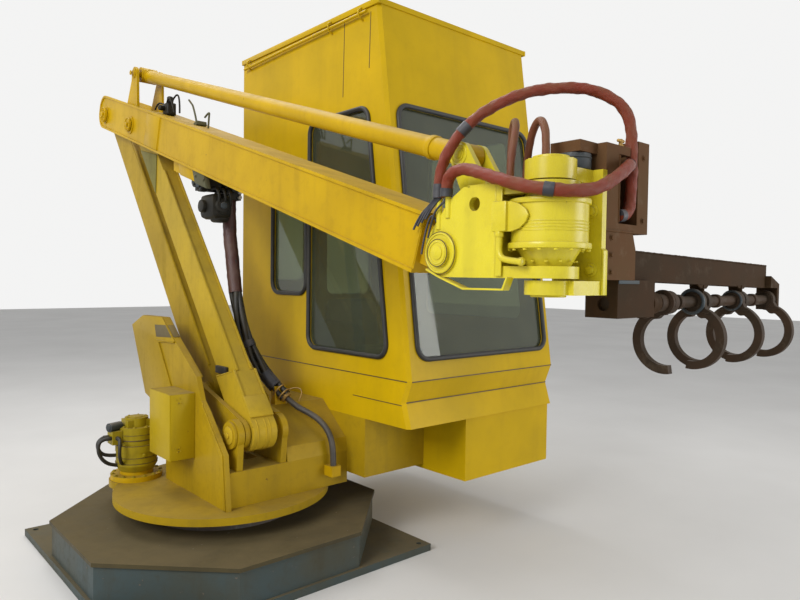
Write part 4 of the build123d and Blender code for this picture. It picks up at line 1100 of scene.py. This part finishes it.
def makeArmTrim():
    # flanges and welds of lower arm and rear link, hub bands, stop, side plate, and a gusset-shaped olive plate on the
    # arm as painted shade
    t = armTrim
    shapes = []
    for side in (-1, 1):
        for low, high, half, face in ((0.165, t["footEnd"], 0.072, t["footFront"]),
                                      (t["footEnd"], t["armEnd"], 0.050, t["front"])):
            shapes.append((makePlate, strip(armAt, low, high, face, face - t["proud"]), "X",
                           side * half, side * (half - t["flange"]), 0.002))
    shapes.append((makePlate, strip(armAt, 0.035, 0.168, t["footFront"], t["footFront"] - 0.012), "X", -0.072, 0.072))
    shapes.append((weldBead, (-0.058, *armAt(0.172, -0.100)), (0.058, *armAt(0.172, -0.100)), 0.004))
    shapes.append((weldBead, (-0.072, *armAt(0.345, -0.09)), (-0.072, *armAt(0.43, 0.09)), 0.004))
    makeFitting("armFlanges", "lower_arm", armYellow, shapes)
    hub = [(makeRing, (x, *linkage["shoulder"]), xAxis, 0.1005, 0.0035) for x in (-0.045, 0.005, 0.03)]
    hub += [(makeDisc, (-0.1725, *linkage["shoulder"]), xAxis, 0.050, 0.006, 40),
            (makeDisc, (-0.178, *linkage["shoulder"]), xAxis, 0.016, 0.010, 20)]
    makeFitting("hubBands", "lower_arm", armYellow, hub)
    makeFitting("rubberStop", "lower_arm", sealRubber, [
        (makeBlock, (-0.071, -0.143, 1.040), (-0.0502, -0.016, 1.082), 0.003)])
    edges = []
    for side in (-1, 1):
        edges.append((makePlate, strip(linkAt, 0.12, 2.36, -0.108, -0.117), "X", side * 0.050, side * 0.036, 0.002))
    edges.append((makeRing, (-0.0505, *linkage["crank"]), xAxis, 0.058, 0.004))
    makeFitting("linkFlanges", "rear_link", cheekYellow, edges)
    makeFitting("sidePlate", "turntable", cheekYellow, [
        (makePlate, [(-0.375, 0.562), (-0.345, 0.66), (-0.281, 0.80), (-0.235, 0.91), (-0.07, 1.01), (-0.03, 0.96),
                     (-0.03, 0.562)], "X", 0.1565, 0.1598, 0.001)])
    # a thin gusset-shaped plate in olive yellow on the arm's near side: painted greenish shade
    makeFitting("armGusset", "lower_arm", greenShadeYellow, [
        (makePlate, [armAt(2.36, 0.092), armAt(2.12, -0.090), armAt(1.93, 0.092)], "X", -0.0502, -0.057, 0.002)])


cheekTrim = {"face": -0.234, "inner": -0.206, "boxInner": -0.190, "band": 0.010}


def makeCheekTrim():
    # raised band and front strip of the tower, two dark sheets on them as painted shade of a recess, lid and marks of
    # the junction box
    t = cheekTrim
    face, proud = t["face"], t["face"] - t["band"]
    front = [(0.640, 1.3475), (0.347, 1.3505), (0.176, 1.2215), (0.048, 1.1415), (-0.110, 1.036)]
    inward = [(-0.085, 1.025), (0.056, 1.130), (0.184, 1.209), (0.353, 1.337), (0.640, 1.334)]
    makeFitting("towerBand", "turntable", cheekYellow, [
        (makePlate, [(0.664, 1.346), (0.844, 1.277), (0.614, 0.850), (0.33, 0.776), (0.20, 0.862), (0.216, 0.945),
                     (0.405, 1.193), (0.168, 1.214), (0.178, 1.2235), (0.347, 1.3495)], "X", face, proud),
        (makePlate, front + inward, "X", t["inner"], t["boxInner"], 0.002),
        (makeBlock, (face - 0.014, 0.172, 1.206), (face, 0.43, 1.212), 0.002),
        (makePlate, [(-0.476, 0.372), (-0.442, 0.66), (-0.235, 0.862), (-0.20, 0.895), (-0.215, 0.845), (-0.418, 0.645),
                     (-0.452, 0.372)], "X", face, face - 0.006, 0.002),
        (weldBead, (face, -0.10, 0.575), (face, 0.19, 0.575), 0.004)])
    # thin dark sheets on the band and the front strip: painted shade of a recess
    makeFitting("towerHatch", "turntable", recessShadePanel, [
        (makePlate, [(0.455, 1.300), (0.290, 1.306), (0.200, 1.237), (0.430, 1.226)], "X", proud, proud - 0.002, 0.001),
        (makePlate, [(0.2815, 1.3075), (0.1935, 1.2405), (0.1960, 1.2375), (0.284, 1.3045)], "X", face,
         t["boxInner"] - 0.004)])
    lid = [(makeBlock, (-0.3745, -0.1035, 0.580), (-0.2355, -0.0995, 0.946), 0.0015),
           (makeBlock, (-0.3795, -0.098, 0.580), (-0.3755, 0.188, 0.946), 0.0015)]
    for z in (0.905, 0.632):
        lid.append((boltSet, [(-0.345, -0.1035, z + 0.014), (-0.325, -0.1035, z + 0.020), (-0.337, -0.1035, z - 0.008),
                              (-0.319, -0.1035, z - 0.004)], (0, -1, 0), 0.0045, False))
    makeFitting("junctionLid", "turntable", boxYellow, lid)
    makeFitting("junctionMarks", "turntable", shadowAndGrimeLine, [
        (makeDisc, (-0.330, -0.104, z), yAxis, 0.003, 0.002, 10, 0) for z in (0.900, 0.628, 0.642)])


driveTrim = {
    "place": (-0.356, 0.455),
    "bands": ((0.640, 0.1065, 0.0016), (0.608, 0.1065, 0.0035), (0.578, 0.1215, 0.0018), (0.505, 0.1195, 0.0018),
              (0.470, 0.1215, 0.002)),
    "lowBolts": (0.398, 0.137, 14, 0.2, 0.009), "highBolts": (0.684, 0.090, 8, 0.3, 0.008),
    "capBolts": (0.738, 0.056, 6, 0.0, 0.006), "cap": (0.739, 0.046, 0.008), "cylinder": (-0.487, 0.455, 0.692),
    "cylinderAxis": (1, 0.35, 0),
}


def makeDriveTrim():
    # bands, bolts, cap, small cylinder and pipes of the slew drive
    t = driveTrim
    x, y = t["place"]

    def boltRow(z, radius, count, first, size):
        return boltSet, circleSpots((x, y, z), zAxis, radius, count, first), zAxis, size

    capLevel, capRadius, capDepth = t["cap"]
    makeFitting("driveBands", "turntable", shadowAndGrimeLine,
                [(makeRing, (x, y, z), zAxis, radius, thick) for z, radius, thick in t["bands"]], 60)
    makeFitting("driveBolts", "turntable", driveYellow, [
        boltRow(*t["lowBolts"]), boltRow(*t["highBolts"]),
        (makeDisc, (x, y, capLevel), zAxis, capRadius, capDepth, 40),
        boltRow(*t["capBolts"]),
        (makeDisc, (x, y - 0.124, 0.522), (0, -1, 0), 0.012, 0.010, 6)])
    makeFitting("driveCylinder", "turntable", slateSteel, [
        (makeDisc, t["cylinder"], t["cylinderAxis"], 0.027, 0.085, 28),
        (makeDisc, t["cylinder"], t["cylinderAxis"], 0.018, 0.098, 28)])
    fittings = [(makeDisc, (-0.530, 0.43 + k * 0.045, 0.63), (-1, 0, 0), 0.014, 0.034, 6) for k in (0, 1)]
    fittings += [(makeDisc, (-0.487, 0.400, 0.63), (0, -1, 0), 0.014, 0.03, 6),
                 (makeRod, [(-0.545, 0.43, 0.63), (-0.575, 0.43, 0.625), (-0.590, 0.43, 0.60), (-0.588, 0.432, 0.55),
                            (-0.560, 0.436, 0.50), (-0.515, 0.440, 0.468), (-0.474, 0.446, 0.458)], 0.011),
                 (makeRod, [(-0.545, 0.475, 0.63), (-0.570, 0.478, 0.62), (-0.580, 0.48, 0.585), (-0.565, 0.482, 0.54),
                            (-0.52, 0.484, 0.515), (-0.474, 0.48, 0.512)], 0.011),
                 (makeRod, [(-0.487, 0.388, 0.63), (-0.487, 0.368, 0.625), (-0.492, 0.352, 0.60), (-0.495, 0.352, 0.54),
                            (-0.48, 0.37, 0.49), (-0.462, 0.40, 0.475)], 0.010)]
    makeFitting("drivePipes", "turntable", blackHose, fittings, 45)


def makeWristTrim():
    # hubs, lobe with its box and pipe, guard loop and drum ridges of the wrist, and the bolts of the yoke
    w, q, x = linkage["wrist"], linkage["tieEnd"], -0.124
    hub = []
    for side in (-1, 1):
        hub += [(makeRing, (side * 0.1345, *w), xAxis, 0.071, 0.0045),
                (makeRing, (side * 0.1485, *w), xAxis, 0.040, 0.003),
                (makeDisc, (side * 0.1485, *w), xAxis, 0.026, 0.008, 32),
                (makeRing, (side * 0.0605, *q), xAxis, 0.036, 0.004),
                (makeDisc, (side * 0.066, *q), xAxis, 0.015, 0.008, 24)]
    makeFitting("wristHubs", "wrist_bracket", wristYellow, hub)
    # two dark rings round the wrist pin: painted shadow round the pin cap and along the rounded plate end around it
    makeFitting("wristHubLine", "wrist_bracket", shadowAndGrimeLine, [
        (makeRing, (-0.1480, *w), xAxis, 0.0495, 0.0018), (makeRing, (-0.1341, *w), xAxis, 0.0775, 0.0014)], 60)
    lobe = [(-2.186, 1.872), (-2.262, 1.866), (-2.295, 1.856), (-2.322, 1.838), (-2.333, 1.818), (-2.323, 1.797),
            (-2.297, 1.776), (-2.262, 1.767), (-2.186, 1.768)]
    makeFitting("wristLobe", "wrist_bracket", wristYellow, [
        (makePlate, lobe, "X", -0.1405, -0.1305),
        (makeBlock, (-0.152, -2.250, 1.768), (-0.124, -2.188, 1.868), 0.004),
        (makeBlock, (-0.130, -2.216, 1.62), (-0.124, -2.190, 1.93), 0.002),
        (weldBead, (x, -2.184, 1.62), (x, -2.184, 1.932), 0.004),
        (makeRod, [(-0.137, -2.214, 1.768), (-0.137, -2.214, 1.735), (-0.137, -2.212, 1.705), (-0.137, -2.222, 1.682),
                   (-0.137, -2.250, 1.672), (-0.132, -2.300, 1.668)], 0.011),
        (makeDisc, (-0.137, -2.214, 1.76), zAxis, 0.016, 0.02, 6),
        (makeDisc, (-0.132, -2.302, 1.668), yAxis, 0.015, 0.018, 6)])
    # the guard loop under the cheek and the top strip over it
    makeFitting("guardLoop", "wrist_bracket", wristYellow, [
        (makePlate, [(-1.862, 1.640), (-1.930, 1.612), (-2.050, 1.571), (-2.234, 1.572), (-2.252, 1.616),
                     (-2.246, 1.618),
                     (-2.228, 1.578), (-2.052, 1.578), (-1.932, 1.618), (-1.864, 1.647)], "X", -0.140, -0.105, 0.001),
        (makeBlock, (-0.124, -2.184, 1.9335), (0.124, -2.060, 1.9375), 0.001),
        (weldBead, (-0.124, -2.06, 1.934), (0.124, -2.06, 1.934), 0.004)])
    x0, y0 = wristFittings["axis"]
    arc = [circleSpots((x0, y0, 1.842), zAxis, radius, 40)[i] for radius, order in
           ((0.1325, range(20, 31)), (0.1270, range(30, 19, -1))) for i in order]
    makeFitting("drumPlate", "wrist_bracket", wristYellow,
                [(makePlate, [(p.x, p.y) for p in arc], "Z", 1.8415, 1.8565, 0.001)]
                + [(makeRing, (x0, y0, z), zAxis, 0.1280, 0.0022) for z in (1.80, 1.79, 1.78, 1.77)]
                + [(boltSet, circleSpots((x0, y0, 1.668), zAxis, 0.090, 12), zAxis, 0.006, False)])
    makeFitting("yokeBolts", "gripper", wristYellow, [
        (boltSet, [(0.160, -2.376, 1.849), (0.160, -2.376, 1.645), (0.160, -2.254, 1.849), (0.160, -2.254, 1.645)],
         (-1, 0, 0), 0.016),
        (boltSet, circleSpots((x0, y0, 2.009), zAxis, 0.072, 10), zAxis, 0.006, False),
        (makeDisc, (x0, y0, 2.016), zAxis, 0.028, 0.016, 32),
        (makePlate, [(-2.4155, 1.559), (-2.4155, 1.72), (-2.424, 1.712), (-2.424, 1.559)], "X", 0.160, 0.186, 0.002),
        (makeDisc, (x0, y0, 1.5555), zAxis, 0.060, 0.008, 40)])


def makeHoseEnds():
    # thin wires at the bracket's posts and the saddle at the bundle's lower end
    wires = [(makeRod, [(-0.128 - 0.004 * k, -1.925 + 0.006 * k, 1.905), (-0.134, -1.905 + 0.008 * k, 1.885),
                        (-0.140, -1.885 + 0.02 * k, 1.862 - 0.006 * k), (-0.142, -1.862 + 0.022 * k, 1.83 - 0.012 * k)],
              0.0045) for k in range(4)]
    wires += [(makeRod, [(-0.124, -1.912, 1.80), (-0.136, -1.895, 1.86), (-0.140, -1.862, 1.80), (-0.140, -1.84, 1.70)],
               0.004),
              (makeRod, [(-0.126, -1.96, 1.90), (-0.140, -1.93, 1.875), (-0.143, -1.90, 1.84), (-0.141, -1.875, 1.76)],
               0.004)]
    makeFitting("hoseWires", "wrist_bracket", blackTape, wires, 60)
    bundle = hoseLines["hoseBundle"]
    end = bundle[-1]
    axis = bundle[-1] - bundle[-3]
    ahead = axis.normalized()
    makeFitting("bundleSaddle", "turntable", brassFitting, [
        (makeRing, end - ahead * 0.055, axis, 0.0425, 0.005),
        (makeRing, end - ahead * 0.015, axis, 0.0425, 0.005),
        (makeDisc, end + ahead * 0.006, axis, 0.036, 0.02, 6),
        (makeRod, [(0.304, -0.165, 0.90), (0.34, -0.19, 0.93), (0.37, -0.25, 0.935), (0.36, -0.29, 0.905),
                   (0.345, -0.275, 0.862)], 0.004)])


gripperTrim = {"y": -2.350, "shaft": 1.524, "hangers": (1.0385, 1.4425), "hangerHalf": 0.0045,
               "backHubs": (0.762, 1.066, 1.464), "frontHubs": (1.010, 1.420, 1.800), "drum": (0.128, -2.320),
               "tee": (0.307, -2.392)}


def makeGripperTrim():
    # drum, tee, bolts and welds of the frame, the beam's edge and hangers, collars and hub plates of the claws
    t = gripperTrim
    y, shaft = t["y"], t["shaft"]
    makeFitting("gripperDrum", "gripper", slateSteel, [
        (makeDisc, (*t["drum"], 2.0175), zAxis, 0.058, 0.055, 44),
        (makeRing, (*t["drum"], 2.030), zAxis, 0.058, 0.003),
        (makeBlock, (0.288, -2.4105, 1.5985), (0.430, -2.4065, 1.6115), 0.001)])
    makeFitting("gripperTee", "gripper", brassFitting, [
        (makeDisc, (*t["tee"], 2.100), zAxis, 0.007, 0.030, 12),
        (makeDisc, (*t["tee"], 2.108), xAxis, 0.006, 0.04, 12),
        (makeDisc, (*t["tee"], 2.089), zAxis, 0.012, 0.008, 6)])
    plates = [(weldBead, (0.188, -2.412, 1.784), (0.373, -2.412, 1.784), 0.004),
              (weldBead, (0.272, -2.411, 1.815), (0.272, -2.411, 2.052), 0.0035),
              (weldBead, (0.396, -2.411, 1.815), (0.396, -2.411, 2.052), 0.0035),
              (boltSet, [(0.228, -2.411, z) for z in (1.64, 1.70, 1.76)], (0, -1, 0), 0.008),
              (boltSet, [(0.436, -2.411, 1.83), (0.436, -2.411, 2.06)], (0, -1, 0), 0.008),
              (makeBlock, (0.19, -2.4135, 1.612), (0.20, -2.4105, 1.778), 0.001)]
    makeFitting("frameFittings", "gripper", gripperBrown, plates, 50)
    # the round lower edge of the beam and the plates that carry the shaft between the claws
    edge = [(makeRod, [(0.40, -2.357, 1.628), (1.742, -2.357, 1.600)], 0.0185, False, 0, 6),
            (weldBead, (0.40, -2.375, 1.722), (1.742, -2.375, 1.695), 0.0035)]
    for x in t["hangers"]:
        edge.append((makePlate, [(y - 0.030, 1.597), (y + 0.035, 1.597), (y + 0.028, 1.545), (y + 0.022, 1.500),
                                 (y - 0.022, 1.500), (y - 0.028, 1.545)], "X", x - t["hangerHalf"],
                                 x + t["hangerHalf"], 0.001))
        edge.append((makePlate, [(x - 0.055, 1.599), (x + 0.055, 1.597), (x + 0.030, 1.580), (x - 0.028, 1.582)], "Y",
                     y - 0.026, y - 0.018, 0.001))
    makeFitting("beamFittings", "gripper", beamBrown, edge, 50)
    collars = [(makeDisc, (x, y, shaft), xAxis, radius, width, 32)
               for x, radius, width in ((0.690, 0.036, 0.05), (0.728, 0.052, 0.018), (0.850, 0.032, 0.03),
                                        (1.22, 0.031, 0.03),
                                        (1.63, 0.031, 0.03), (1.878, 0.030, 0.012))]
    makeFitting("shaftCollars", "claws_back", clawSteel, collars)
    makeFitting("shaftRing", "claws_back", slateSteel, [
        (makeRing, (0.988, y, shaft), xAxis, 0.050, 0.0075, 36),
        (makeRing, (1.398, y, shaft), xAxis, 0.044, 0.0055, 36)])
    for name, body, stations, side in (("hubPlatesBack", "claws_back", t["backHubs"], 1),
                                       ("hubPlatesFront", "claws_front", t["frontHubs"], -1)):
        shapes = []
        for x in stations:
            shapes.append((makeRing, (x - 0.0160, y, shaft), xAxis, 0.041, 0.004, 36))
            shapes.append((weldBead, (x - 0.0165, y + side * 0.01, 1.478), (x - 0.0165, y + side * 0.075, 1.476),
                           0.004))
        makeFitting(name, body, clawSteel, shapes, 50)


makeBoomTrim()
makeBoomGoods()
print("stage: boom fittings")
makeArmTrim()
makeCheekTrim()
makeDriveTrim()
print("stage: arm, tower and drive fittings")
makeWristTrim()
makeHoseEnds()
makeGripperTrim()
print("stage: wrist and gripper fittings")


# floor, pale surroundings and studio light
def makeStage():
    # floor, surroundings seen by the camera and a softer light from them
    clearSelection()
    bpy.ops.mesh.primitive_plane_add(size=60, location=(0, 0, -0.0005))
    floor = bpy.context.object
    floor.name = "studioFloor"
    material = bpy.data.materials.new("paleFloor")
    material.use_nodes = True
    tree = material.node_tree
    shader = tree.nodes["Principled BSDF"]
    place = tree.nodes.new("ShaderNodeTexCoord")
    tone = mapTo(tree, noiseAt(tree, place.outputs["Object"], 0.6, 4.0), 0.3, 0.7)
    tree.links.new(mixColor(tree, tone, (0.60, 0.585, 0.56, 1), (0.66, 0.645, 0.62, 1)), shader.inputs["Base Color"])
    shader.inputs["Roughness"].default_value = 0.7
    floor.data.materials.append(material)
    world = bpy.context.scene.world or bpy.data.worlds.new("studio")
    bpy.context.scene.world = world
    world.use_nodes = True
    tree = world.node_tree
    for node in list(tree.nodes):
        tree.nodes.remove(node)
    out = tree.nodes.new("ShaderNodeOutputWorld")
    lightPath = tree.nodes.new("ShaderNodeLightPath")
    soft = addNode(tree, "ShaderNodeBackground", Color=(0.95, 0.97, 1.0, 1), Strength=0.5)
    seen = addNode(tree, "ShaderNodeBackground", Color=(0.93, 0.93, 0.925, 1), Strength=0.97)
    shows = mathNode(tree, "MAXIMUM", lightPath.outputs["Is Camera Ray"],
                     mathNode(tree, "MAXIMUM", lightPath.outputs["Is Glossy Ray"],
                              lightPath.outputs["Is Transmission Ray"]))
    mixed = tree.nodes.new("ShaderNodeMixShader")
    tree.links.new(shows, mixed.inputs[0])
    tree.links.new(soft.outputs[0], mixed.inputs[1])
    tree.links.new(seen.outputs[0], mixed.inputs[2])
    tree.links.new(mixed.outputs[0], out.inputs["Surface"])


studioLights = {
    "keyLight": {"place": (-6.8, -2.2, 5.4), "aim": (0.2, -0.5, 1.4), "size": 4.0, "power": 470},
    "fillLight": {"place": (4.6, -7.2, 1.9), "aim": (0.5, -0.8, 1.1), "size": 3.6, "power": 190},
    "topLight": {"place": (0.5, 2.5, 7.5), "aim": (0.2, 0.0, 1.0), "size": 5.0, "power": 300},
}


def makeLights():
    for name, light in studioLights.items():
        clearSelection()
        place = Vector(light["place"])
        bpy.ops.object.light_add(type="AREA", location=place)
        lamp = bpy.context.object
        lamp.name = name
        lamp.data.energy = light["power"]
        lamp.data.size = light["size"]
        lamp.rotation_euler = (place - Vector(light["aim"])).to_track_quat("Z", "Y").to_euler()


makeStage()
makeLights()
bpy.context.scene.view_settings.view_transform = "Standard"
print("stage: studio")
